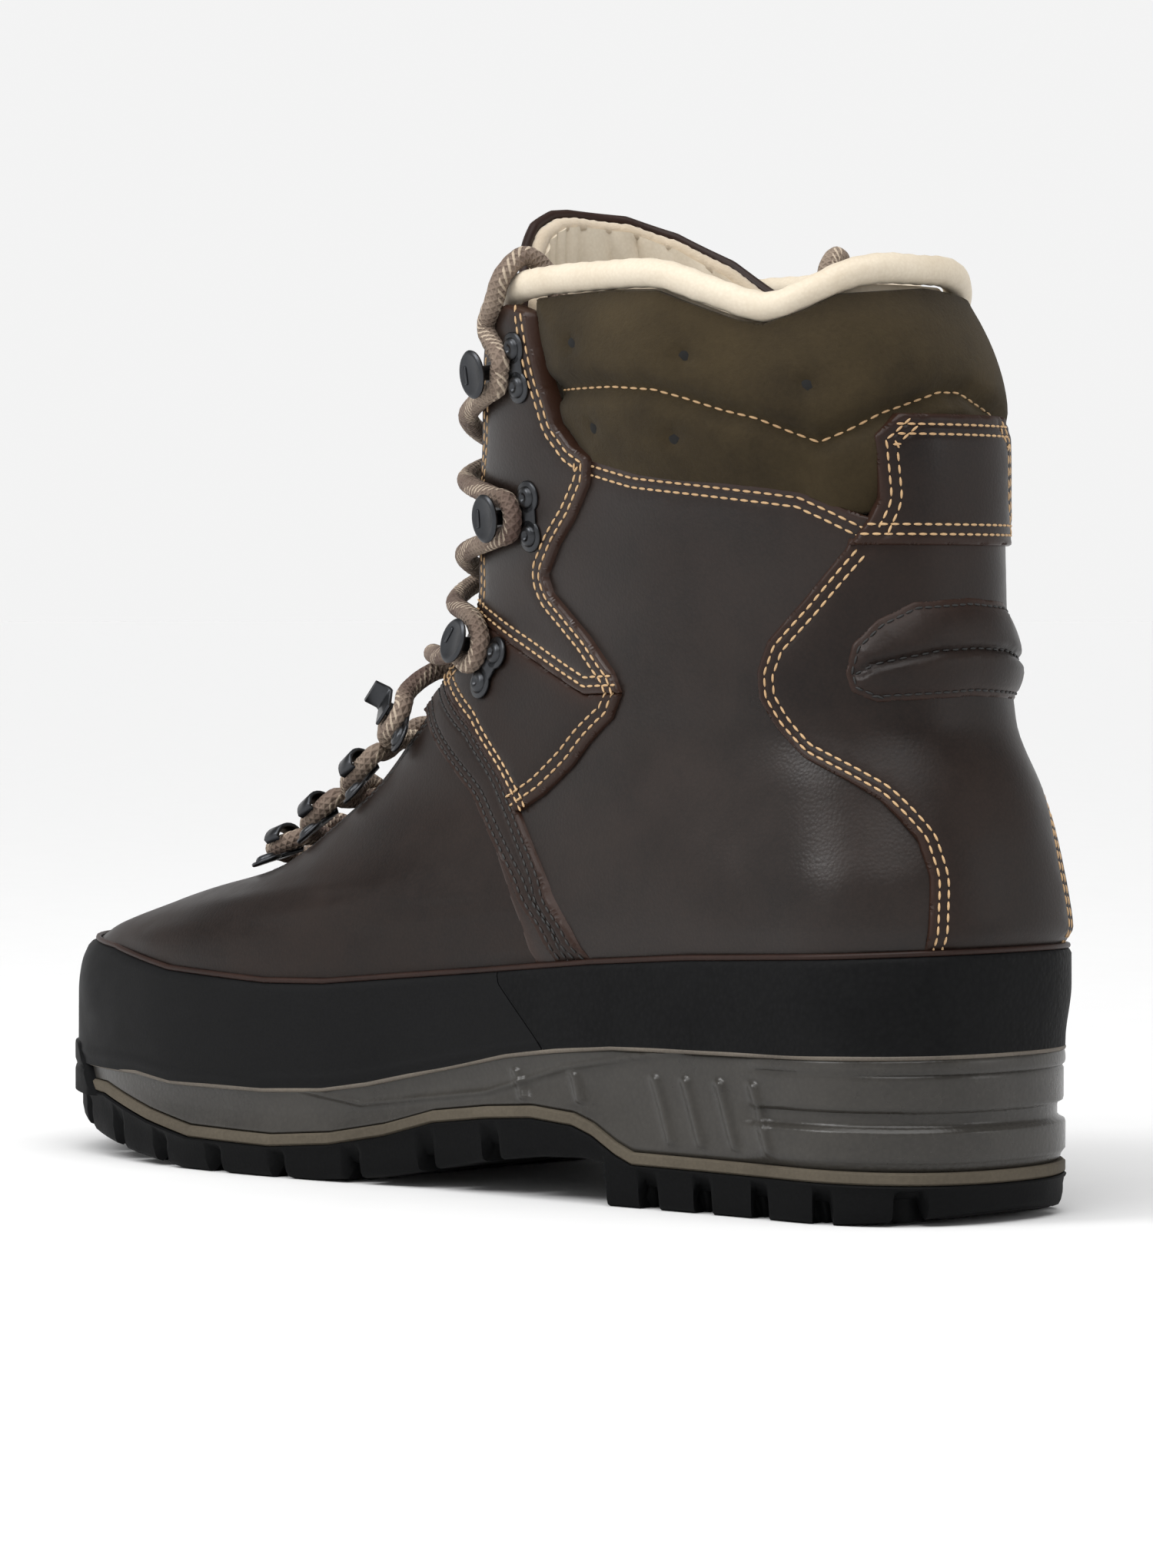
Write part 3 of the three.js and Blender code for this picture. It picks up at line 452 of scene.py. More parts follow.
def sweep(name: str, path: Array, radius: Callable[[Array, Array], Array] | float,
          sides: int = 12, body: str = "boot", closed: bool = False) -> Piece:
    """Tube along a path, with a UV map whose u is the distance and v the turn.

    Args:
        name: The piece's name.
        path: Even points in millimetres.
        radius: One radius, or a function of the distance along and the turn.
        sides: Corners round the tube.
        body: The moving body.
        closed: Whether the path joins itself.

    Returns:
        The object.
    """
    tangents = np.gradient(path, axis=0)
    if closed:
        tangents = np.roll(path, -1, axis=0) - np.roll(path, 1, axis=0)
    tangents /= np.linalg.norm(tangents, axis=1)[:, None]
    normals = np.empty_like(path)
    seed = np.array([0.0, 0.0, 1.0]) if abs(tangents[0][2]) < 0.9 else np.array([1.0, 0.0, 0.0])
    normals[0] = seed - tangents[0] * (seed @ tangents[0])
    for i in range(1, len(path)):
        normals[i] = normals[i - 1] - tangents[i] * (normals[i - 1] @ tangents[i])
        normals[i] /= max(np.linalg.norm(normals[i]), 1e-9)
    normals[0] /= np.linalg.norm(normals[0])
    across = np.cross(tangents, normals)
    steps = np.linalg.norm(np.diff(path, axis=0), axis=1)
    along = np.concatenate([[0], np.cumsum(steps)])
    turn = np.arange(sides) / sides
    size = radius(along[:, None], turn[None, :]) if callable(radius) else radius
    size = np.broadcast_to(size, (len(path), sides))[..., None]
    angle = 2 * math.pi * turn[None, :, None]
    rings = path[:, None] + size * (np.cos(angle) * normals[:, None] + np.sin(angle) * across[:, None])
    faces: list[Sequence[int]] = list(grid_faces(len(path), sides, closed, True))
    if not closed:
        faces += [tuple(range(sides)), tuple(range((len(path) - 1) * sides, len(path) * sides))[::-1]]
    obj = make_object(name, rings.reshape(-1, 3), faces, body)
    layer = obj.data.uv_layers.new(name="UVMap")
    for polygon in obj.data.polygons:
        corners = [(obj.data.loops[k].vertex_index, k) for k in polygon.loop_indices]
        turns = [v % sides for v, _ in corners]
        over = max(turns) == sides - 1 and min(turns) == 0 and len(corners) == 4
        for (vertex, loop), t in zip(corners, turns):
            layer.data[loop].uv = (along[vertex // sides], (sides if over and t == 0 else t) / sides)
    return obj


def distance_to(points: Array, line: Array) -> Array:
    """Distance from each flat point to an open flat polyline."""
    a, b = line[:-1], line[1:]
    out = np.full(len(points), 1e9)
    span = b - a
    size = np.maximum((span ** 2).sum(1), 1e-9)
    for i in range(0, len(points), 2000):
        p = points[i:i + 2000, None]
        t = np.clip(((p - a) * span).sum(2) / size, 0, 1)
        out[i:i + 2000] = np.sqrt((((a + t[..., None] * span) - p) ** 2).sum(2)).min(1)
    return out


def inside(points: Array, outline: Array) -> Array:
    """Which flat points lie inside a closed outline."""
    x, y = points[:, 0], points[:, 1]
    result = np.zeros(len(points), bool)
    for (x0, y0), (x1, y1) in zip(outline, np.roll(outline, -1, axis=0)):
        if y0 == y1:
            continue
        cross = (y0 > y) != (y1 > y)
        result ^= cross & (x < (x1 - x0) * (y - y0) / (y1 - y0) + x0)
    return result


def inward(line: Array, distance: float, outline: Array) -> Array:
    """Open flat polyline moved into the outline by a distance."""
    tangent = np.gradient(line, axis=0)
    tangent /= np.linalg.norm(tangent, axis=1)[:, None]
    normal = np.stack([-tangent[:, 1], tangent[:, 0]], axis=1)
    votes = inside(line + normal * 0.8, outline).sum() - inside(line - normal * 0.8, outline).sum()
    return line + normal * distance * (1 if votes >= 0 else -1)


def wobble(points: Array, size: float, seed: int) -> Array:
    """Slow, even bumps between -1 and 1, of about the given wavelength."""
    rng = np.random.default_rng(seed)
    total = np.zeros(len(points))
    for _ in range(7):
        way = rng.normal(size=points.shape[1])
        way *= 2 * math.pi / (np.linalg.norm(way) * size * rng.uniform(0.7, 1.6))
        total += np.sin(points @ way + rng.uniform(0, 6.28))
    return total / 7


@dataclass
class Panel:
    """One leather or nubuck panel laid on the body.

    Attributes:
        name: The piece's name.
        nodes: CAD nodes that it stands for.
        outline: Closed flat outline.
        seams: Open flat lines along its visible edges.
        height: How far its face stands off the body.
        base: Offset of its hidden face.
        edge: Radius of its visible edges.
        rows: Distances of stitch channels from the seams.
        spacing: Distance between the points of its face.
        puff: How far stuffing lifts its middle.
        puff_reach: How fast the stuffing rises from the edge.
        channels: Extra pressed-in lines: flat line, depth and half width.
        toe: Whether its flat coordinates count from the toe.
        creases: Height of slow creases.
    """

    name: str
    nodes: tuple[str, ...]
    outline: Array
    seams: list[Array] = field(default_factory=list)
    height: float = 0.0
    base: float = -2.0
    edge: float = 0.7
    rows: tuple[float, ...] = ()
    spacing: float = 2.4
    puff: float = 0.0
    puff_reach: float = 9.0
    channels: list[tuple[Array, float, float]] = field(default_factory=list)
    toe: bool = False
    creases: float = 0.25

    @property
    def flat(self) -> Unroll:
        """The flat coordinates that it is drawn in."""
        return TOE_FLAT if self.toe else HEEL_FLAT

    def lift(self, points: Array) -> Array:
        """Height of the panel's face at flat points inside it."""
        outline = np.vstack([self.outline, self.outline[:1]])
        from_edge = distance_to(points, outline)
        near = np.clip(from_edge, 0, self.edge)
        height = self.height - self.edge + np.sqrt(np.maximum(self.edge ** 2 - (self.edge - near) ** 2, 0))
        if self.puff:
            height = height + self.puff * (1 - np.exp(-(from_edge / self.puff_reach) ** 1.4))
        for seam in self.seams:
            away = distance_to(points, seam)
            for row in self.rows:
                height = height - 0.32 * np.exp(-((away - row) / 0.55) ** 2)
        for line, depth, half in self.channels:
            height = height - depth * np.exp(-(distance_to(points, line) / half) ** 2)
        height = height + self.creases * wobble(points, 30, len(self.name)) * smooth(from_edge, 0, 8)
        if self.flat.height(points).min() > 66:
            return height
        place = self.flat.place(points, 0.0)
        tuck = smooth(place[:, 2] - line_at(RAND_TOP, place[:, 0]), -0.5, 4.5)
        return height * tuck - 0.6 * (1 - tuck)

    def face_points(self) -> Array:
        """Flat points inside the outline: rings along its edge and an even spread."""
        outline = np.vstack([self.outline, self.outline[:1]])
        low, high = self.outline.min(0), self.outline.max(0)
        fine = [resample(line, 1.0) for line in self.seams]
        kept = []
        rings = (0.3, 0.75, 1.3, 1.9, 2.5, 3.1, 3.8, 4.5, 5.2)
        for ring in rings:
            ring_line = inward(resample(outline, 1.0 if ring < 1.5 else 1.6), ring, self.outline) if \
                ring < 1.5 or not fine else np.vstack([inward(f, ring, self.outline) for f in fine])
            ok = inside(ring_line, self.outline)
            ring_line = ring_line[ok]
            ring_line = ring_line[distance_to(ring_line, outline) > ring * 0.8]
            kept.append(ring_line)
        step = self.spacing
        columns = np.arange(low[0], high[0], step)
        levels = np.arange(low[1], high[1], step * 0.87)
        grid = np.array([(x + (i % 2) * step / 2, y) for i, y in enumerate(levels) for x in columns])
        grid = grid[inside(grid, self.outline)]
        grid = grid[distance_to(grid, outline) > 1.9]
        if fine:
            near = np.min([distance_to(grid, f) for f in fine], axis=0)
            grid = grid[near > 6.2]
        for line, _, half in self.channels:
            dense = resample(line, 1.2)
            for shift in (-1.4 * half, -0.7 * half, 0, 0.7 * half, 1.4 * half):
                moved = dense + np.array([0.0, shift])
                moved = moved[inside(moved, self.outline)]
                kept.append(moved[distance_to(moved, outline) > 1.5])
        return thin(np.vstack([*kept, grid]), 0.33)

    def build(self) -> Piece:
        """Makes the closed panel with an 'edge' attribute that falls away from its border."""
        border = resample(np.vstack([self.outline, self.outline[:1]]), 0.9)[:-1]
        self.outline = border
        points = self.face_points()
        everything = [Vector(p) for p in np.vstack([border, points])]
        found = delaunay_2d_cdt(everything, [], [list(range(len(border)))], 1, 1e-5)
        flat = np.array([tuple(v) for v in found[0]])
        triangles = [tuple(f) for f in found[2]]
        rim_of = {}
        for new, olds in enumerate(found[3]):
            for old in olds:
                if old < len(border):
                    rim_of[old] = new
        rim = [rim_of[k] for k in range(len(border))]
        top = self.flat.place(flat, self.lift(flat))
        bottom = self.flat.place(flat, self.base)
        count = len(flat)
        faces: list[Sequence[int]] = list(triangles)
        faces += [(c + count, b + count, a + count) for a, b, c in triangles]
        forward = area(flat[rim]) > 0
        for k, a in enumerate(rim):
            b = rim[(k + 1) % len(rim)]
            if a != b:
                faces.append((b, a, a + count, b + count) if forward else (a, b, b + count, a + count))
        obj = make_object(self.name, np.vstack([top, bottom]), faces)
        outline = np.vstack([self.outline, self.outline[:1]])
        mask = np.exp(-distance_to(flat, outline) / 1.8)
        layer = obj.data.attributes.new("edge", "FLOAT", "POINT")
        layer.data.foreach_set("value", np.concatenate([mask, mask]).astype(np.float32))
        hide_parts(*self.nodes)
        return obj

    def stitch_lines(self) -> list[Array]:
        """Centrelines of the stitch rows, just above the panel's face."""
        lines = []
        for seam in self.seams:
            for row in self.rows:
                line = inward(resample(seam, 1.5), row, self.outline)
                line = line[inside(line, self.outline)]
                if len(line) > 3:
                    lines.append(self.flat.place(line, self.lift(line) + 0.12))
        return lines


def area(flat: Array) -> float:
    """Signed area of a closed flat outline."""
    x, y = flat[:, 0], flat[:, 1]
    return float((x * np.roll(y, -1) - np.roll(x, -1) * y).sum() / 2)


def thin(points: Array, step: float) -> Array:
    """Drops points that share a small cell with an earlier one."""
    cells = np.round(points / step).astype(int)
    _, first = np.unique(cells, axis=0, return_index=True)
    return points[np.sort(first)]


def two_sided(line: Line, toe: bool = False) -> Array:
    """Closed outline of a panel that wraps round the heel or toe, from its outer-side line."""
    flat = TOE_FLAT if toe else HEEL_FLAT
    return np.vstack([flat.flat(line, -1), flat.flat(list(reversed(list(line))), 1)])


# ---- finishes -------------------------------------------------------------------------------
class Grain(Enum):
    """What the surface's fine relief is made of."""

    LEATHER = "leather"
    NAP = "nap"
    RUBBER = "rubber"
    FOAM = "foam"
    METAL = "metal"
    CORD = "cord"


@dataclass(frozen=True)
class Finish:
    """A procedural finish.

    Attributes:
        name: The material's name.
        dark: Colour in the hollows.
        light: Colour on the raised parts.
        roughness: Lowest and highest roughness.
        grain: What the relief is.
        size: Millimetres across one grain.
        depth: Depth of the relief in millimetres.
        edge: Colour that comes through along worn edges.
        edge_share: How strongly it does.
        metallic: 0 or 1.
        sheen: Strength of the nap's soft light.
        coat: Strength of a clear polish.
        specular: Strength of the plain reflection.
    """

    name: str
    dark: tuple[float, float, float]
    light: tuple[float, float, float]
    roughness: tuple[float, float] = (0.4, 0.6)
    grain: Grain = Grain.LEATHER
    size: float = 1.2
    depth: float = 0.05
    edge: tuple[float, float, float] = (0.1, 0.05, 0.03)
    edge_share: float = 0.0
    metallic: float = 0.0
    sheen: float = 0.0
    coat: float = 0.0
    specular: float = 0.5

    def build(self) -> bpy.types.Material:
        """Makes the material once and gives it back afterwards."""
        known = bpy.data.materials.get(f"{self.name}_look")
        if known:
            return known
        material = bpy.data.materials.new(f"{self.name}_look")
        material.use_nodes = True
        tree = material.node_tree
        shader = tree.nodes["Principled BSDF"]
        relief = tree.nodes.new("ShaderNodeGroup")
        relief.node_tree = relief_group(self.grain)
        relief.inputs["Size"].default_value = self.size / 1000
        spread = tree.nodes.new("ShaderNodeGroup")
        spread.node_tree = patches_group()
        tone = mix_colour(tree, self.dark, self.light)
        tree.links.new(blend_value(tree, relief.outputs["Tone"], spread.outputs["Patches"]), tone.inputs[0])
        colour = tone.outputs[2]
        if self.edge_share:
            edge = tree.nodes.new("ShaderNodeAttribute")
            edge.attribute_name = "edge"
            share = tree.nodes.new("ShaderNodeMath")
            share.operation = "MULTIPLY"
            share.inputs[1].default_value = self.edge_share
            tree.links.new(edge.outputs["Fac"], share.inputs[0])
            worn = mix_colour(tree, self.dark, self.edge)
            tree.links.new(share.outputs[0], worn.inputs[0])
            tree.links.new(colour, worn.inputs[6])
            colour = worn.outputs[2]
        tree.links.new(colour, shader.inputs["Base Color"])
        rough = tree.nodes.new("ShaderNodeMapRange")
        rough.inputs["To Min"].default_value = self.roughness[0]
        rough.inputs["To Max"].default_value = self.roughness[1]
        tree.links.new(spread.outputs["Patches"], rough.inputs["Value"])
        tree.links.new(rough.outputs["Result"], shader.inputs["Roughness"])
        bump = tree.nodes.new("ShaderNodeBump")
        bump.inputs["Strength"].default_value = 1.0
        bump.inputs["Distance"].default_value = self.depth / 1000
        tree.links.new(relief.outputs["Height"], bump.inputs["Height"])
        tree.links.new(bump.outputs["Normal"], shader.inputs["Normal"])
        shader.inputs["Metallic"].default_value = self.metallic
        shader.inputs["Specular IOR Level"].default_value = self.specular
        shader.inputs["Sheen Weight"].default_value = self.sheen
        shader.inputs["Sheen Roughness"].default_value = 0.5
        shader.inputs["Coat Weight"].default_value = self.coat
        shader.inputs["Coat Roughness"].default_value = 0.35
        return material

    def dress(self, obj: Piece) -> Piece:
        """Puts the finish on a piece."""
        obj.data.materials.clear()
        obj.data.materials.append(self.build())
        return obj


def mix_colour(tree: Tree, a: Sequence[float], b: Sequence[float]) -> bpy.types.Node:
    """Colour mixer between two constant colours."""
    node = tree.nodes.new("ShaderNodeMix")
    node.data_type = "RGBA"
    node.inputs[6].default_value = (*a, 1)
    node.inputs[7].default_value = (*b, 1)
    return node


def blend_value(tree: Tree, a: Socket,
                b: Socket) -> Socket:
    """Mean of two values."""
    node = tree.nodes.new("ShaderNodeMix")
    node.inputs[0].default_value = 0.5
    tree.links.new(a, node.inputs[2])
    tree.links.new(b, node.inputs[3])
    return node.outputs[0]


def new_group(name: str, outputs: Sequence[str], sized: bool) -> Tree:
    """Empty shader group with float outputs and, if sized, a Size input in metres."""
    tree = bpy.data.node_groups.new(name, "ShaderNodeTree")
    if sized:
        socket = tree.interface.new_socket("Size", in_out="INPUT", socket_type="NodeSocketFloat")
        socket.default_value = 0.001
        tree.nodes.new("NodeGroupInput").name = "In"
    for output in outputs:
        tree.interface.new_socket(output, in_out="OUTPUT", socket_type="NodeSocketFloat")
    tree.nodes.new("NodeGroupOutput").name = "Out"
    tree.nodes.new("ShaderNodeTexCoord").name = "Place"
    return tree


def patches_group() -> Tree:
    """Group with slow uneven patches, for polish and handling marks."""
    name = "handling_patches"
    known = bpy.data.node_groups.get(name)
    if known:
        return known
    tree = new_group(name, ["Patches"], sized=False)
    noise = tree.nodes.new("ShaderNodeTexNoise")
    noise.inputs["Scale"].default_value = 38
    noise.inputs["Detail"].default_value = 5
    noise.inputs["Roughness"].default_value = 0.6
    tree.links.new(tree.nodes["Place"].outputs["Object"], noise.inputs["Vector"])
    spread = tree.nodes.new("ShaderNodeMapRange")
    spread.inputs["From Min"].default_value = 0.32
    spread.inputs["From Max"].default_value = 0.68
    tree.links.new(noise.outputs["Fac"], spread.inputs["Value"])
    tree.links.new(spread.outputs["Result"], tree.nodes["Out"].inputs["Patches"])
    return tree


def relief_group(grain: Grain) -> Tree:
    """Group with the fine relief of one kind of surface: a height and a tone, both 0 to 1."""
    name = f"relief_{grain.value}"
    known = bpy.data.node_groups.get(name)
    if known:
        return known
    tree = new_group(name, ["Height", "Tone"], sized=True)
    scale = tree.nodes.new("ShaderNodeMath")
    scale.operation = "DIVIDE"
    scale.inputs[0].default_value = 1
    tree.links.new(tree.nodes["In"].outputs["Size"], scale.inputs[1])
    if grain is Grain.CORD:
        height, tone = cord_weave(tree)
    elif grain in (Grain.LEATHER, Grain.RUBBER, Grain.FOAM):
        cells = tree.nodes.new("ShaderNodeTexVoronoi")
        cells.feature = "SMOOTH_F1"
        cells.inputs["Smoothness"].default_value = 0.35
        tree.links.new(scale.outputs[0], cells.inputs["Scale"])
        tree.links.new(tree.nodes["Place"].outputs["Object"], cells.inputs["Vector"])
        flip = tree.nodes.new("ShaderNodeMapRange")
        flip.inputs["From Max"].default_value = 0.8
        flip.inputs["To Min"].default_value = 1
        flip.inputs["To Max"].default_value = 0
        tree.links.new(cells.outputs["Distance"], flip.inputs["Value"])
        noise = tree.nodes.new("ShaderNodeTexNoise")
        noise.inputs["Detail"].default_value = 4
        tree.links.new(scale.outputs[0], noise.inputs["Scale"])
        tree.links.new(tree.nodes["Place"].outputs["Object"], noise.inputs["Vector"])
        height = blend_value(tree, flip.outputs["Result"], noise.outputs["Fac"])
        tone = height
    else:
        noise = tree.nodes.new("ShaderNodeTexNoise")
        noise.inputs["Detail"].default_value = 8
        noise.inputs["Roughness"].default_value = 0.75
        tree.links.new(scale.outputs[0], noise.inputs["Scale"])
        tree.links.new(tree.nodes["Place"].outputs["Object"], noise.inputs["Vector"])
        height = tone = noise.outputs["Fac"]
    tree.links.new(height, tree.nodes["Out"].inputs["Height"])
    tree.links.new(tone, tree.nodes["Out"].inputs["Tone"])
    return tree


def cord_weave(tree: Tree) -> tuple[Socket, Socket]:
    """Plaited strands over the piece's own UV map, in two opposite spirals."""
    def wave(kind: str, a: Socket | float, b: Socket | float) -> Socket:
        node = tree.nodes.new("ShaderNodeMath")
        node.operation = kind
        for k, value in enumerate((a, b)):
            if isinstance(value, float):
                node.inputs[k].default_value = value
            else:
                tree.links.new(value, node.inputs[k])
        return node.outputs[0]

    split = tree.nodes.new("ShaderNodeSeparateXYZ")
    tree.links.new(tree.nodes["Place"].outputs["UV"], split.inputs[0])
    along = wave("MULTIPLY", split.outputs[0], 2 * math.pi / 3.2)
    turn = wave("MULTIPLY", split.outputs[1], 2 * math.pi * 6)
    left = wave("SINE", wave("ADD", wave("MULTIPLY", along, 2.0), turn), 0.0)
    right = wave("SINE", wave("SUBTRACT", wave("MULTIPLY", along, 2.0), turn), 0.0)
    height = wave("MAXIMUM", left, right)
    round_twice = wave("MULTIPLY", split.outputs[1], 4 * math.pi)
    slow = wave("SINE", wave("ADD", wave("MULTIPLY", along, 0.15), round_twice), 0.0)
    tone = wave("GREATER_THAN", slow, 0.5)
    tone = wave("MULTIPLY", tone, wave("GREATER_THAN", left, 0.2))
    return height, tone


LEATHER = Finish("oiled_leather", (0.0055, 0.0034, 0.0028), (0.019, 0.011, 0.008), (0.34, 0.5),
                 Grain.LEATHER, 0.8, 0.04, (0.05, 0.019, 0.010), 0.4, specular=0.22)
SHAFT_LEATHER = Finish("shaft_leather", (0.0062, 0.004, 0.0032), (0.020, 0.012, 0.009), (0.27, 0.40),
                       Grain.LEATHER, 0.8, 0.045, (0.055, 0.021, 0.011), 0.45, specular=0.32)
NUBUCK = Finish("olive_nubuck", (0.014, 0.0095, 0.0045), (0.062, 0.045, 0.022), (0.85, 0.95), Grain.NAP,
                1.1, 0.28, (0.012, 0.008, 0.004), 0.4, sheen=0.05, specular=0.12)
CREAM = Finish("cream_leather", (0.56, 0.47, 0.35), (0.74, 0.665, 0.54), (0.5, 0.65), Grain.LEATHER,
               0.8, 0.04)
FUZZ = Finish("beige_pile", (0.45, 0.36, 0.25), (0.72, 0.60, 0.45), (0.9, 1.0), Grain.NAP,
              0.6, 0.35, sheen=0.4)
PIPING = Finish("brown_piping", (0.012, 0.0055, 0.004), (0.032, 0.0145, 0.010), (0.4, 0.5), Grain.LEATHER,
                0.8, 0.03, specular=0.2)
RAND_FINISH = Finish("rand_rubber", (0.003, 0.0031, 0.0034), (0.009, 0.0091, 0.0095), (0.5, 0.7),
                     Grain.RUBBER, 0.7, 0.02, (0.03, 0.028, 0.025), 0.12, specular=0.1)
RAND_GRAINED = Finish("rand_rubber_grained", (0.003, 0.0031, 0.0034), (0.010, 0.0101, 0.0105), (0.5, 0.7),
                      Grain.RUBBER, 1.3, 0.2, specular=0.07)
MIDSOLE_FINISH = Finish("midsole_foam", (0.020, 0.018, 0.0155), (0.045, 0.041, 0.035), (0.24, 0.36),
                        Grain.RUBBER, 1.1, 0.07, coat=0.15, specular=0.3)
WEDGE_FINISH = Finish("tan_wedge", (0.062, 0.052, 0.039), (0.115, 0.098, 0.073), (0.6, 0.8), Grain.RUBBER,
                      0.9, 0.04, specular=0.1)
OUTSOLE_FINISH = Finish("outsole_rubber", (0.0015, 0.0016, 0.0018), (0.005, 0.0052, 0.0055), (0.5, 0.75),
                        Grain.RUBBER, 0.8, 0.05, specular=0.08)
CEMENT = Finish("pale_cement", (0.05, 0.04, 0.03), (0.16, 0.135, 0.105), (0.5, 0.7), Grain.RUBBER, 0.6, 0.03)
GUNMETAL = Finish("gunmetal", (0.030, 0.031, 0.033), (0.075, 0.078, 0.084), (0.28, 0.42), Grain.METAL,
                  0.5, 0.01, metallic=1.0)
LACE_FINISH = Finish("plaited_lace", (0.045, 0.013, 0.010), (0.56, 0.46, 0.35), (0.75, 0.9), Grain.CORD,
                     1.0, 0.25)
THREAD = Finish("waxed_thread", (0.42, 0.25, 0.12), (0.62, 0.42, 0.22), (0.5, 0.6), Grain.NAP, 0.3, 0.05)
BLACK_THREAD = Finish("black_thread", (0.004, 0.004, 0.004), (0.014, 0.013, 0.012), (0.5, 0.6), Grain.NAP,
                      0.3, 0.05)
FOOTBED_FINISH = Finish("footbed_felt", (0.05, 0.05, 0.05), (0.12, 0.12, 0.115), (0.9, 1.0), Grain.NAP,
                        0.7, 0.2)
BOARD = Finish("last_board", (0.16, 0.10, 0.05), (0.30, 0.22, 0.13), (0.8, 0.95), Grain.NAP, 0.8, 0.05)
STEEL = Finish("shank_steel", (0.4, 0.4, 0.42), (0.6, 0.6, 0.62), (0.3, 0.45), Grain.METAL,
               0.6, 0.01, metallic=1.0)
HOLE = Finish("punched_hole", (0.002, 0.002, 0.002), (0.006, 0.005, 0.004), (0.9, 1.0), Grain.FOAM, 0.5, 0.02)


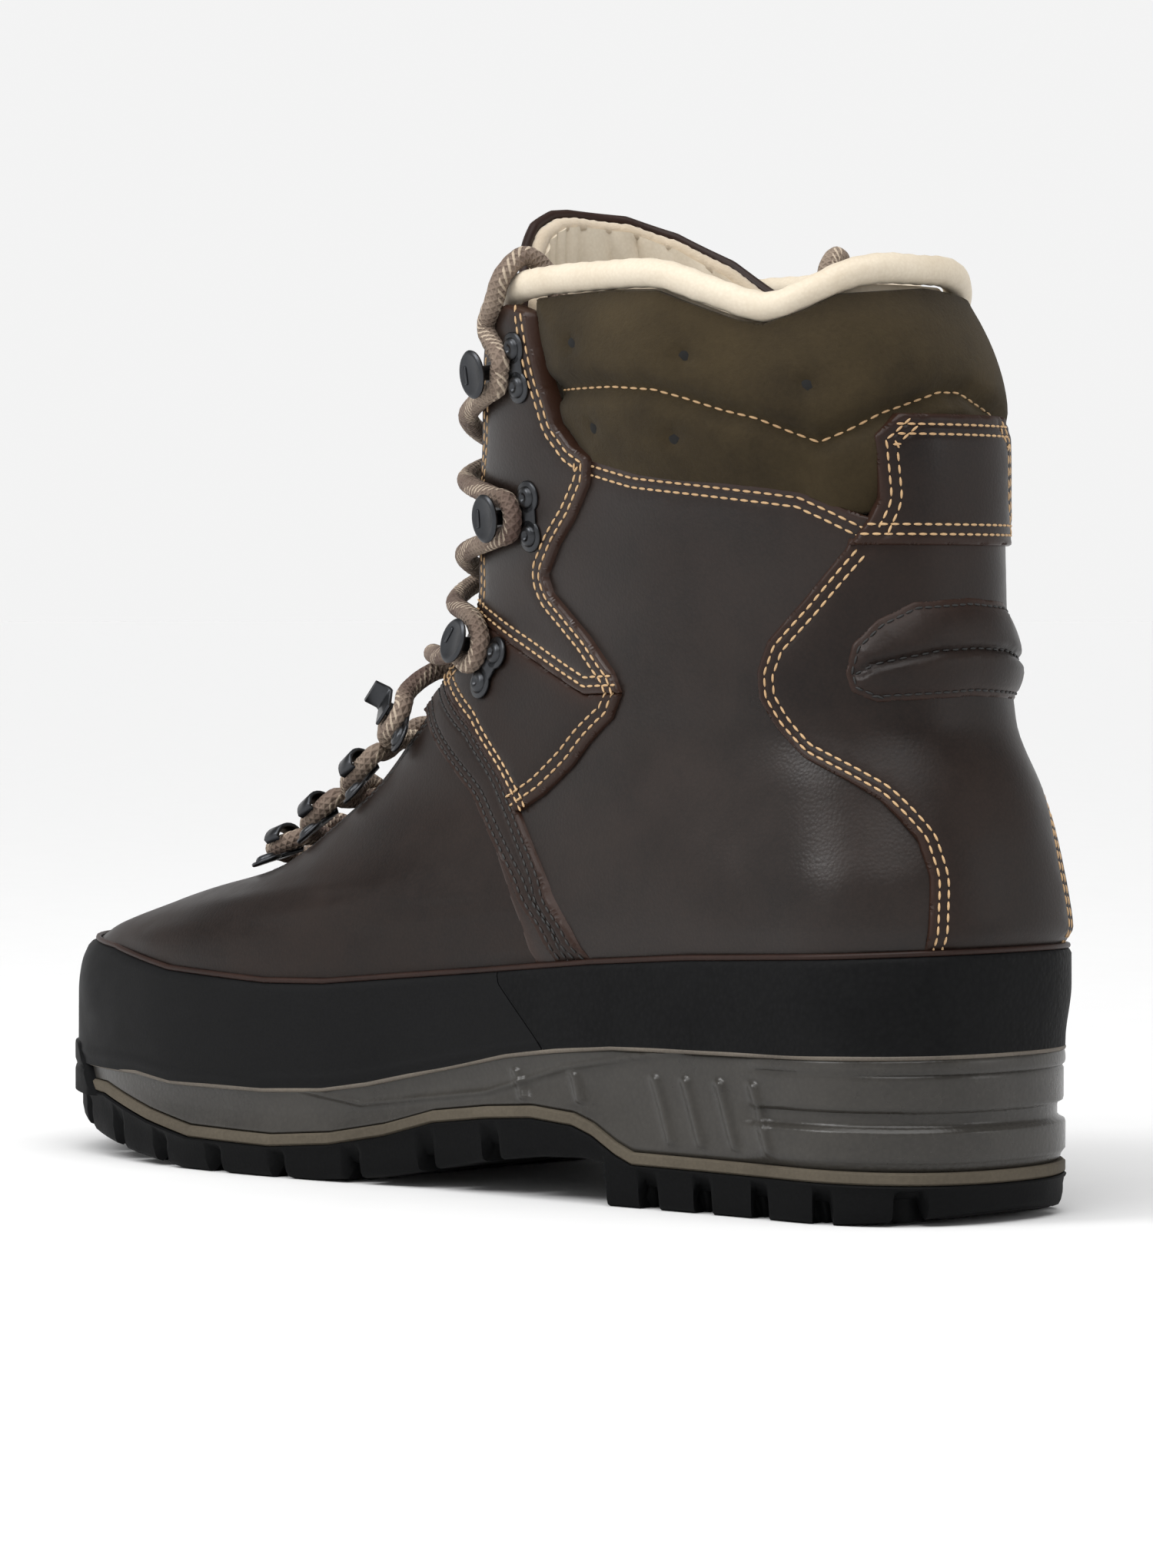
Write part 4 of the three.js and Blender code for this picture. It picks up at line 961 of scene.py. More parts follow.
# ---- sole -----------------------------------------------------------------------------------
@dataclass
class SoleUnit:
    """Outsole with lugs, tan wedge, midsole, footbed and the rubber rand.

    Attributes:
        around: Points round the sole's edge.
        lug_depth: Depth of the notches between lugs.
        flare: How far the tread stands out beyond the midsole.
    """

    around: int = 1240
    lug_depth: float = 5.0
    flare: float = 0.6

    def _turns(self) -> tuple[Array, Array]:
        turn = np.arange(self.around) / self.around
        return np.where(turn <= 0.5, turn * 2, 2 - turn * 2), np.where(turn <= 0.5, -1, 1)

    def edge(self, offset: Array | float) -> Array:
        """Plan outline of the sole, moved outwards by the offset."""
        around, side = self._turns()
        return BODY.at(around, side, np.full(self.around, 30.0), offset)

    def layer(self, name: str, rows: Sequence[tuple[Array, Array]], nodes: Sequence[str],
              under: Callable[[Array, Array], Array] | None = None,
              across: int = 6) -> Piece:
        """Closed layer of the sole.

        Args:
            name: The piece's name.
            rows: Offset and height round the edge, from the bottom up.
            nodes: CAD nodes that it stands for.
            under: Height of its under face at x and y, where it isn't flat.
            across: Strips across its faces.

        Returns:
            The object.
        """
        rings = []
        for offset, z in rows:
            ring = self.edge(offset)
            ring[:, 2] = z
            rings.append(ring)
        n = self.around
        points = [np.vstack(rings)]
        faces: list[Sequence[int]] = list(grid_faces(len(rows), n, False, True))
        start = len(rows) * n
        half = n // 2
        for ring_index, flip in ((0, True), (len(rows) - 1, False)):
            ring = rings[ring_index]
            left, right = ring[1:half], ring[:half:-1]
            share = (np.arange(1, across) / across)[None, :, None]
            inner = left[:, None] * (1 - share) + right[:, None] * share
            if ring_index == 0 and under is not None:
                inner[..., 2] = under(inner[..., 0], inner[..., 1])
            points.append(inner.reshape(-1, 3))
            columns = across - 1

            def number(i: int, k: int) -> int:
                if k == 0:
                    return ring_index * n + i
                if k == across:
                    return ring_index * n + (n - i)
                return start + (i - 1) * columns + k - 1

            for i in range(1, half - 1):
                for k in range(across):
                    quad = (number(i, k), number(i, k + 1), number(i + 1, k + 1), number(i + 1, k))
                    faces.append(quad[::-1] if flip else quad)
            first = [number(1, k) for k in range(across + 1)]
            last = [number(half - 1, k) for k in range(across + 1)]
            for end, line, ahead in ((ring_index * n, first, True), (ring_index * n + half, last, False)):
                for a, b in zip(line[:-1], line[1:]):
                    tri = (end, b, a) if ahead else (end, a, b)
                    faces.append(tri[::-1] if flip else tri)
            start += (half - 1) * columns
        obj = make_object(name, np.vstack(points), faces)
        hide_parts(*nodes)
        return obj

    def notch_depth(self, x: Array) -> Array:
        """How deep the gaps between the lugs are at x."""
        depth = np.zeros_like(x)
        for places, deep in ((FORE_NOTCHES, self.lug_depth - 1.2), (HEEL_NOTCHES, self.lug_depth)):
            for place in places:
                away = np.abs(x - place)
                cut = 1 - smooth(away, NOTCH_WIDTH / 2 - 0.3, NOTCH_WIDTH / 2 + 0.7)
                depth = np.maximum(depth, deep * cut)
        return depth

    def build(self) -> dict[str, Piece]:
        """Makes all the layers of the sole and dresses them."""
        x = self.edge(0.0)[:, 0]
        tread, bend = line_at(TREAD, x), line_at(BEND_TOP, x)
        bend_low = bend - BEND_THICKNESS
        notch = self.notch_depth(x)

        def under(px: Array, py: Array) -> Array:
            base = line_at(TREAD, px)
            cut = self.notch_depth(px) * smooth(np.abs(py), 17, 20)
            fore = smooth(px, -114, -110) * (1 - smooth(px, 26, 30))
            heel = smooth(px, 64, 67) * (1 - smooth(px, 122, 126))
            cut = np.maximum(cut, 3.4 * (1 - smooth(np.abs(py), 4, 5)) * fore)
            cut = np.maximum(cut, 4 * (1 - smooth(np.abs(py), 11, 12.5)) * heel)
            return np.minimum(base + cut, line_at(BEND_TOP, px) - BEND_THICKNESS - 0.8)

        bottom = np.minimum(tread + notch, bend_low - 1.2)
        inwards = np.where(notch > 0.5, -1.6, 0.0)
        rows = [(np.full_like(x, -1.6) + inwards, bottom), (-0.3 + inwards, bottom + 0.5),
                (0.2 + inwards, np.minimum(bottom + 1.5, bend_low - 1.0))]
        gap = np.maximum(bend_low - 1.0 - rows[-1][1], 0)
        for share in (0.35, 0.7):
            rows.append((self.flare + inwards * (1 - share), rows[2][1] + gap * share))
        rows += [(np.full_like(x, self.flare + 0.3), bend_low - 0.9),
                 (np.full_like(x, self.flare + 0.5), bend_low - 0.5),
                 (np.full_like(x, self.flare + 0.1), bend_low - 0.1)]
        pieces = {"outsole": OUTSOLE_FINISH.dress(self.layer("outsole_tread", rows, ["outsole"], under, 44))}
        pieces["wedge"] = WEDGE_FINISH.dress(self.layer(
            "tan_sole_wedge", [(np.full_like(x, 0.2), bend_low), (np.full_like(x, 0.9), bend_low + 0.5),
                               (np.full_like(x, 0.9), bend - 0.6), (np.full_like(x, 0.3), bend - 0.1)],
            ["sole_wedge"]))
        pieces["midsole"] = MIDSOLE_FINISH.dress(self._midsole(x, bend))
        bed = line_at(RAND_BOTTOM, x)
        pieces["footbed"] = FOOTBED_FINISH.dress(self.layer(
            "footbed_felt", [(np.full_like(x, -9.0), bed + 2.9), (np.full_like(x, -8.6), bed + 3.6),
                             (np.full_like(x, -8.6), bed + 5.8), (np.full_like(x, -9.4), bed + 6.5)],
            ["footbed"]))
        pieces["bumper"] = OUTSOLE_FINISH.dress(self._toe_bumper())
        self._rand(pieces)
        return pieces

    @staticmethod
    def _toe_bumper() -> Piece:
        """Tread rubber that turns up over the tip of the toe."""
        around = np.concatenate([np.linspace(0.775, 1, 90), np.linspace(1, 0.775, 90)[1:]])[None, :]
        side = np.where(np.arange(around.shape[1]) < 90, -1, 1)[None, :]
        share = np.linspace(0, 1, 20)[:, None]
        plan = BODY.at(around, side, 30.0 + 0 * around)
        low = line_at(BEND_TOP, plan[..., 0]) - BEND_THICKNESS - 1
        height = (13.0 * smooth(around, 0.775, 0.83) + 0.5) * share
        lift = 0.3 + 2.2 * smooth(around, 0.775, 0.79) * smooth(1 - share, 0, 0.12) + 0 * height
        lift = lift - 0.5 * np.exp(-((height - 6.5) / 0.8) ** 2)
        sheets = []
        for offset in (lift, lift * 0 - 1.0):
            sheet = BODY.at(around + 0 * share, side + 0 * share, 30.0 + 0 * height, offset)
            sheet[..., 2] = low + height
            sheets.append(sheet)
        return shell("toe_bumper", sheets[0], sheets[1])

    def _midsole(self, x: Array, bend: Array) -> Piece:
        """Foam midsole with heel bands, oblique fins and a ridge along the waist."""
        top = line_at(RAND_BOTTOM, x)
        ridge = line_at([(-175, 30), (-60, 25), (-20, 19), (20, 24), (45, 31), (75, 36), (175, 60)], x)
        rows = []
        for share in np.linspace(0, 1, 40):
            z = bend + (top - bend) * share
            heel = smooth(x, 96, 106)
            bead = 0.9 * smooth(z, 33.6, 34.6)
            band = 0.5 * smooth(z, 25.2, 26.2) * (1 - smooth(z, 33, 34))
            low = 0.9 * smooth(z, 13.5, 15) * (1 - smooth(z, 21, 22.2))
            groove = -0.9 * smooth(z, 21.4, 22.4) * (1 - smooth(z, 25.0, 26.0))
            offset = heel * (bead + band + low + groove)
            along_ridge = 0.5 * smooth(z - ridge, -0.6, 0.6) + 0.7 * np.exp(-((z - ridge) / 0.9) ** 2)
            offset = offset + (1 - heel) * along_ridge
            for fin in (31, 49, 75, 84, 94, 104):
                floor, ceiling = (22.5, 31) if fin < 60 else (14.5, 31.5)
                lean = (z - (floor + ceiling) / 2) * 0.35
                tall = smooth(z, floor, floor + 1.5) * (1 - smooth(z, ceiling - 1.5, ceiling))
                offset = offset + 1.1 * tall * np.exp(-((x - fin + lean) / 1.5) ** 2)
            waist = smooth(x, -110, -60) * (1 - smooth(x, 60, 100))
            offset = offset - 1.2 * waist * np.sin(math.pi * share)
            edge = 0.7 * (np.exp(-share / 0.02) + np.exp(-(1 - share) / 0.02))
            rows.append((offset - edge, z + 0 * x))
        return self.layer("midsole_wall", rows, ["midsole"])

    def _rand(self, pieces: dict[str, Piece]) -> None:
        """Rubber rand in two lengths, its cement line and the piping along its top."""
        rows = 30
        share = np.linspace(0, 1, rows)[:, None]
        for name, node, front in (("rand_toe_guard", "rand_front", True),
                                  ("rand_heel_strip", "rand_rear", False)):
            halves = []
            for side in (-1, 1):
                splice = np.array(sorted(((z, px) for px, z in SPLICE)))
                low, high = line_at(RAND_BOTTOM, 35), line_at(RAND_TOP, 35)
                z_at = low + (high - low) * share[:, 0]
                cut_x = np.interp(z_at, splice[:, 0], splice[:, 1]) + (0.0 if front else 0.3)
                cut = BODY.around_at(cut_x, z_at)[:, None]
                t = np.linspace(0, 1, 420)[None, :]
                halves.append((side, cut + (1 - cut) * t if front else cut * (1 - t)))
            grids = []
            for side, around in halves:
                u = (1 - np.cos(math.pi * around)) / 2
                x = 148 - 303 * u
                z = line_at(RAND_BOTTOM, x) + (line_at(RAND_TOP, x) - line_at(RAND_BOTTOM, x)) * share
                x = BODY.at(around, side, z)[..., 0]
                z = line_at(RAND_BOTTOM, x) + (line_at(RAND_TOP, x) - line_at(RAND_BOTTOM, x)) * share
                top_edge = smooth(1 - share, 0, 0.055)
                uneven = wobble(np.dstack([x, z]).reshape(-1, 2), 26, 5).reshape(x.shape)
                lift = -0.3 + 1.2 * top_edge + 0.12 * uneven
                if front:
                    lift = lift + 0.7 * (1 - smooth(x, -128, -96)) * smooth(1 - share, 0.0, 0.2)
                    lift = lift + 0.35 * np.exp(-((share - 0.10) / 0.03) ** 2)
                grids.append((BODY.at(around, side, z, lift), BODY.at(around, side, z, -2.2)))
            (outer_l, inner_l), (outer_m, inner_m) = grids
            outer = np.concatenate([outer_l, outer_m[:, -2::-1]], axis=1)
            inner = np.concatenate([inner_l, inner_m[:, -2::-1]], axis=1)
            obj = shell(name, outer, inner)
            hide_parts(node)
            (RAND_FINISH if front else RAND_GRAINED).dress(obj)
            pieces[name] = obj
        around, side = self._turns()
        for name, line, lift, radius, finish in (("rand_cement_line", RAND_BOTTOM, 0.45, 0.6, CEMENT),
                                                 ("rand_top_piping", RAND_TOP, 0.1, 0.7, PIPING)):
            guess = BODY.at(around, side, np.full(self.around, 40.0))[:, 0]
            z = line_at(line, guess)
            z = line_at(line, BODY.at(around, side, z)[:, 0]) + 0.15
            path = BODY.at(around, side, z, lift)
            pieces[name] = finish.dress(sweep(name, path, radius, 8, closed=True))


# ---- upper ----------------------------------------------------------------------------------
def shifted(line: Line, dx: float = 0.0, dz: float = 0.0) -> list[tuple[float, float]]:
    """Seam line moved in side view."""
    return [(x + dx, z + dz) for x, z in line]


@dataclass
class Upper:
    """The leather and nubuck panels, in the order in which they overlap.

    Attributes:
        overlap: How far a panel runs under the one that covers it.
        thread_rows: Distances of the two stitch rows from a panel's edge.
    """

    overlap: float = 4.0
    thread_rows: tuple[float, ...] = (1.9, 4.0)
    panels: list[Panel] = field(default_factory=list)

    def side_panels(self, label: str, side: int) -> list[Panel]:
        """The panels of one side of the boot."""
        def flat(line: Line) -> Array:
            return HEEL_FLAT.flat(line, side)

        strip = flat([*STRIP_FRONT[:-1], (44, 50), (56, 50), *reversed(STRIP_REAR[:-1])])
        wing_front = [(2.5, 136), (-5, 127), (-11, 121)]
        wing = flat([*STRIP_REAR[:4], *WING_REAR[1:], *reversed(SLOT[:-1]), *wing_front[1:-1]])
        throat_up = [p for p in THROAT if p[1] >= 136]
        facing = flat([*throat_up, (26, 208.2), *reversed(COLLAR_FRONT[:-1]), *reversed(FACING_REAR[:-1]),
                       *reversed(SLOT[:-1])])
        quarter = flat([(38, 51), (22, 80), (14, 96), (0, 116), (6, 138), (22, 142), (28, 148), (44, 172),
                        (48, 173), *COLLAR_LOWER[:-1],
                        (122.5, 158), (127, 157), (122, 148), (115, 136), (107, 128),
                        (105, 122), (110, 112), (124, 103), (136, 96), (145, 80), (146, 62), (146, 52)])
        return [
            Panel(f"quarter_panel_{label}", (f"quarter_{label}",), quarter, [flat(COLLAR_LOWER)], 0.6,
                  rows=self.thread_rows, creases=0.45),
            Panel(f"instep_strip_panel_{label}", (f"instep_strip_{label}",), strip,
                  [flat(STRIP_FRONT), flat(STRIP_REAR)], 1.7, rows=(1.6, 3.8)),
            Panel(f"ankle_wing_panel_{label}", (f"ankle_wing_{label}",), wing,
                  [flat(WING_REAR), flat([*wing_front[1:], *STRIP_REAR[1:4]])], 2.1, rows=self.thread_rows),
            Panel(f"facing_panel_{label}", (f"facing_{label}",), facing,
                  [flat(throat_up), flat([*FACING_REAR, *COLLAR_FRONT[1:]]), flat(SLOT)], 2.3,
                  rows=self.thread_rows),
        ]

    @staticmethod
    def punched() -> list[tuple[Array, float, float]]:
        """Dimples round the air holes of the collar, as short pressed-in lines."""
        dimples = []
        for side in (-1, 1):
            for place in AIR_HOLES:
                middle = HEEL_FLAT.flat([place], side)
                dimples.append((np.vstack([middle - [0.2, 0], middle + [0.2, 0]]), 1.3, 2.1))
        return dimples

    def build(self) -> list[Piece]:
        """Makes and dresses all panels; the stuffed ones are declared."""
        throat_low = [p for p in THROAT if p[1] <= 121]
        vamp_line = [(-96, 69.5), *throat_low, (-8, 112), *shifted(STRIP_FRONT[1:-1], 5, 0), (48, 47),
                     *[(x, z - 4.5) for x, z in reversed(RAND_TOP) if x < 40]]
        vamp = two_sided(vamp_line, toe=True)
        throat_row = TOE_FLAT.flat(throat_low, -1), TOE_FLAT.flat(throat_low, 1)
        self.panels = [Panel("vamp_panel", ("vamp",), vamp, list(throat_row), 0.0, rows=self.thread_rows,
                             toe=True, spacing=2.2, creases=0.35)]
        for label, side in (("lateral", -1), ("medial", 1)):
            self.panels += self.side_panels(label, side)
        counter = two_sided([(119.4, 153), *COUNTER_EDGE[1:-1], (142, 56), (175, 56)])
        counter_seams = [HEEL_FLAT.flat(COUNTER_EDGE[1:], s) for s in (-1, 1)]
        self.panels.append(Panel("heel_counter", ("heel_counter_panel",), counter, counter_seams, 1.8,
                                 rows=self.thread_rows))
        tab = np.vstack([HEEL_FLAT.flat([*reversed(TAB_EDGE), (119.4, 151.6), (175, 151.6)], -1),
                         HEEL_FLAT.flat([(119.4, 151.6), *TAB_EDGE], 1)])
        tab_bottom = np.vstack([HEEL_FLAT.flat([(119.4, 151.6), (175, 151.6)], -1),
                                HEEL_FLAT.flat([(119.4, 151.6)], 1)])
        tab_top = np.vstack([HEEL_FLAT.flat([TAB_EDGE[-1], (175, 181)], -1),
                             HEEL_FLAT.flat([TAB_EDGE[-1]], 1)])
        tab_seams = [HEEL_FLAT.flat(TAB_EDGE, -1), HEEL_FLAT.flat(TAB_EDGE, 1), tab_bottom, tab_top]
        self.panels.append(Panel("heel_pull_tab", ("heel_tab",), tab, tab_seams, 3.2, rows=(2.4, 4.6)))
        pad = np.vstack([HEEL_FLAT.flat([*PAD, (175, 140)], -1), HEEL_FLAT.flat(list(reversed(PAD)), 1),
                         HEEL_FLAT.flat([(175, 117.5)], 1)])
        ring = np.vstack([pad, pad[:1]])
        crease = [(121.5, 123), (124, 125), (128, 126.5), (131, 128), (133, 128.5)]
        middle = np.vstack([HEEL_FLAT.flat(crease, -1), HEEL_FLAT.flat(list(reversed(crease)), 1)])
        self.pad_row = middle
        self.panels.append(Panel("achilles_pad_cover", ("achilles_pad",), pad, [ring], 2.0, rows=(1.6,),
                                 spacing=1.5, puff=3.2, puff_reach=4.2, channels=[(middle, 1.5, 1.1)]))
        top = [(x, z) for x, z in reversed(COLLAR_TOP) if 35 < x < 118]
        under = [(50, 168), *shifted(COLLAR_LOWER[1:-1], 0, -4), (127, 160), (129, 177.5), (175, 178)]
        left = HEEL_FLAT.flat(under, -1)
        right = HEEL_FLAT.flat(list(reversed(under[:-1])), 1)
        front_right = HEEL_FLAT.flat([*COLLAR_FRONT[1:], *reversed(top), (175, 209.8)], 1)
        front_left = HEEL_FLAT.flat([*top, *reversed(COLLAR_FRONT[1:])], -1)
        collar = np.vstack([left, right, front_right, front_left])
        quilting = np.vstack([HEEL_FLAT.flat(ZIGZAG, -1), HEEL_FLAT.flat([(175, 186)], -1),
                              HEEL_FLAT.flat(list(reversed(ZIGZAG)), 1)])
        self.panels.append(Panel("puffed_collar", ("collar_nubuck", "collar_padding"), collar, [], -0.4,
                                 base=-3.0, edge=0.5, puff=4.2, puff_reach=8.0,
                                 channels=[(quilting, 3.0, 2.6), *self.punched()], creases=0.9))
        self.quilting = quilting
        made = []
        for panel in self.panels:
            obj = panel.build()
            leather = SHAFT_LEATHER if "quarter" in panel.name or "facing" in panel.name else LEATHER
            (NUBUCK if "collar" in panel.name else leather).dress(obj)
            log.info("panel %s: %d points", panel.name, len(obj.data.vertices))
            made.append(obj)
        made += self._air_holes()
        return made

    def _air_holes(self) -> list[Piece]:
        """Dark punched holes at the bottoms of the dimples, each side in one piece."""
        collar = self.panels[-1]
        made = []
        for label, side in (("lateral", -1), ("medial", 1)):
            points, faces = [], []
            for place in AIR_HOLES:
                flat = HEEL_FLAT.flat([place], side)
                near = np.vstack([flat, flat + [1, 0], flat + [0, 1]])
                middle, along, up = HEEL_FLAT.place(near, collar.lift(flat)[0] + 0.1)
                along, up = (along - middle), (up - middle)
                normal = np.cross(along, up) / np.linalg.norm(np.cross(along, up))
                normal *= 1 if normal[1] * side > 0 else -1
                along = along / np.linalg.norm(along)
                basis = np.array([along, np.cross(normal, along), normal])
                part, part_faces = turned([(0, -0.5), (1.5, -0.5), (1.75, 0.1), (1.4, 0.3), (0, 0.2)],
                                          sides=16)
                faces += [tuple(sum(map(len, points)) + k for k in f) for f in part_faces]
                points.append(part @ basis + middle)
            made.append(HOLE.dress(make_object(f"air_holes_{label}", np.vstack(points), faces)))
        return made


@dataclass
class Stitching:
    """Rows of stitches laid along the seams with Geometry Nodes.

    Attributes:
        pitch: Distance from one stitch to the next.
        length: Length of one stitch.
        thickness: Thickness of the thread.
    """

    pitch: float = 2.6
    length: float = 2.1
    thickness: float = 0.62

    def _tree(self, finish: Finish) -> Tree:
        """Node tree that sets a thread along every spline of a curve."""
        tree = bpy.data.node_groups.new(f"stitches_{finish.name}", "GeometryNodeTree")
        tree.interface.new_socket("Geometry", in_out="INPUT", socket_type="NodeSocketGeometry")
        for label in ("Pitch", "Length", "Thickness"):
            tree.interface.new_socket(label, in_out="INPUT", socket_type="NodeSocketFloat")
        tree.interface.new_socket("Geometry", in_out="OUTPUT", socket_type="NodeSocketGeometry")
        given, result = tree.nodes.new("NodeGroupInput"), tree.nodes.new("NodeGroupOutput")
        points = tree.nodes.new("GeometryNodeCurveToPoints")
        points.mode = "LENGTH"
        tree.links.new(given.outputs["Geometry"], points.inputs["Curve"])
        tree.links.new(given.outputs["Pitch"], points.inputs["Length"])
        ball = tree.nodes.new("GeometryNodeMeshUVSphere")
        ball.inputs["Segments"].default_value = 8
        ball.inputs["Rings"].default_value = 6
        ball.inputs["Radius"].default_value = 0.5
        size = tree.nodes.new("ShaderNodeCombineXYZ")
        tree.links.new(given.outputs["Thickness"], size.inputs[0])
        tree.links.new(given.outputs["Thickness"], size.inputs[1])
        tree.links.new(given.outputs["Length"], size.inputs[2])
        copies = tree.nodes.new("GeometryNodeInstanceOnPoints")
        tree.links.new(points.outputs["Points"], copies.inputs["Points"])
        tree.links.new(ball.outputs["Mesh"], copies.inputs["Instance"])
        tree.links.new(points.outputs["Rotation"], copies.inputs["Rotation"])
        tree.links.new(size.outputs[0], copies.inputs["Scale"])
        real = tree.nodes.new("GeometryNodeRealizeInstances")
        tree.links.new(copies.outputs["Instances"], real.inputs["Geometry"])
        paint = tree.nodes.new("GeometryNodeSetMaterial")
        paint.inputs["Material"].default_value = finish.build()
        tree.links.new(real.outputs["Geometry"], paint.inputs["Geometry"])
        tree.links.new(paint.outputs["Geometry"], result.inputs["Geometry"])
        return tree

    def build(self, name: str, lines: Sequence[Array], finish: Finish,
              body: str = "boot") -> Piece:
        """Lays a thread along some lines.

        Args:
            name: The piece's name.
            lines: Polylines in millimetres.
            finish: The thread's finish.
            body: The moving body.

        Returns:
            The stitches as one plain mesh.
        """
        curve = bpy.data.curves.new(f"{name}_lines", "CURVE")
        curve.dimensions = "3D"
        for line in lines:
            spline = curve.splines.new("POLY")
            spline.points.add(len(line) - 1)
            metres = (line + FOOTPRINT_SHIFT) / 1000
            spline.points.foreach_set("co", np.column_stack([metres, np.ones(len(line))]).ravel())
        carrier = bpy.data.objects.new(f"{name}_lines", curve)
        bpy.context.scene.collection.objects.link(carrier)
        modifier = carrier.modifiers.new("stitches", "NODES")
        tree = self._tree(finish)
        modifier.node_group = tree
        wanted = {"Pitch": self.pitch / 1000, "Length": self.length / 1000,
                  "Thickness": self.thickness / 1000}
        for item in tree.interface.items_tree:
            if item.in_out == "INPUT" and item.name in wanted:
                modifier[item.identifier] = wanted[item.name]
        graph = bpy.context.evaluated_depsgraph_get()
        mesh = bpy.data.meshes.new_from_object(carrier.evaluated_get(graph), depsgraph=graph)
        mesh.name = name
        bpy.data.objects.remove(carrier)
        mesh.polygons.foreach_set("use_smooth", [True] * len(mesh.polygons))
        obj = bpy.data.objects.new(name, mesh)
        bpy.context.scene.collection.objects.link(obj)
        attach(obj, body)
        return obj


# ---- lining, collar roll and tongue -----------------------------------------------------------
@dataclass
class ShaftInside:
    """Lining, roll along the collar's top and the strips that close the throat.

    Attributes:
        lining_offsets: Outer and inner face of the lining from the body's surface.
        roll_radius: Radius of the padded roll.
    """

    lining_offsets: tuple[float, float] = (-5.4, -6.5)
    roll_radius: float = 3.4

    def build(self) -> dict[str, Piece]:
        """Makes and dresses the pieces."""
        pieces = {"lining": self._lining()}
        halves = [np.round([[*BODY.side_place(x, z, side, -2.7)[0][:2], z + 2.2] for x, z in ROLL_LINE], 1)
                  for side in (-1, 1)]
        back = np.round([BODY.ends(211)[0] - 2.7, 0, 214], 1)
        roll = catmull([*halves[0], back, *halves[1][::-1]], 1.4)
        rough = wobble(roll, 16, 4)

        def size(along: Array, turn: Array) -> Array:
            pleat = np.sin(along * 2 * math.pi / 5.2 + 2.0 * np.sin(along / 23))
            gathers = 0.10 * pleat * np.cos(2 * math.pi * turn)
            ends = np.minimum(smooth(along, -1, 9), smooth(along[-1] - along, -1, 9))
            return (self.roll_radius + 0.22 * rough[:, None] + gathers) * (0.45 + 0.55 * ends)

        pieces["roll"] = CREAM.dress(sweep("padded_collar_roll", roll, size, 18))
        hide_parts("collar_roll")
        for label, side in (("lateral", -1), ("medial", 1)):
            pieces[f"gusset_{label}"] = self._gusset(label, side)
        return pieces

    def _lining(self) -> Piece:
        """Thin lining down the inside, open at the throat."""
        rows, columns = 60, 110
        halves = []
        for side in (-1, 1):
            share = np.linspace(0, 1, rows)[:, None]
            t = np.linspace(0, 1, columns)[None, :]
            z = 44 + 160 * share + 0 * t
            for _ in range(3):
                front = np.interp(z, [44, 60, 64, 72, 84, 96, 124, 170, 203],
                                  [1, 1, .92, .84, .79, .77, .73, .72, .64])
                x = BODY.at(front * t, side, z)[..., 0]
                floor = line_at(RAND_BOTTOM, x) + 1.4
                z = floor + (line_at(COLLAR_TOP, x) + 0.6 - floor) * share
            halves.append((front * t, side, z))
        outer, inner = [], []
        for around, side, z in halves:
            bumps = 0.2 * wobble(np.dstack([around * 300, z]).reshape(-1, 2), 40, 11).reshape(z.shape)
            outer.append(BODY.at(around, side, z, self.lining_offsets[0]))
            inner.append(BODY.at(around, side, z, self.lining_offsets[1] + bumps))
        whole = [np.concatenate([a[:, ::-1], b[:, 1:]], axis=1) for a, b in (outer, inner)]
        obj = CREAM.dress(shell("shaft_lining", whole[0], whole[1]))
        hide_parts("lining")
        return obj

    def _gusset(self, label: str, side: int) -> Piece:
        """Soft strip that runs from under the facing towards the tongue."""
        z = np.linspace(79, 203, 90)[:, None]
        line = np.array(sorted((zz, x) for x, zz in THROAT))
        edge = np.interp(z, line[:, 0], line[:, 1])
        around = BODY.around_at(edge, z)
        t = np.linspace(0, 1, 16)[None, :]
        reach = np.interp(z, [79, 100, 130, 160, 203], [0.022, 0.03, 0.05, 0.075, 0.085])
        place = around - 0.035 + (reach + 0.035) * t
        folds = 0.5 * np.sin(t * 9 + z / 17) * smooth(t, 0.3, 1)
        lift = -0.6 - 3.0 * smooth(t, 0.45, 1) + folds * 0.6
        obj = shell(f"gusset_{label}", BODY.at(place, side, z, lift), BODY.at(place, side, z, lift - 1.3))
        return NUBUCK.dress(obj)


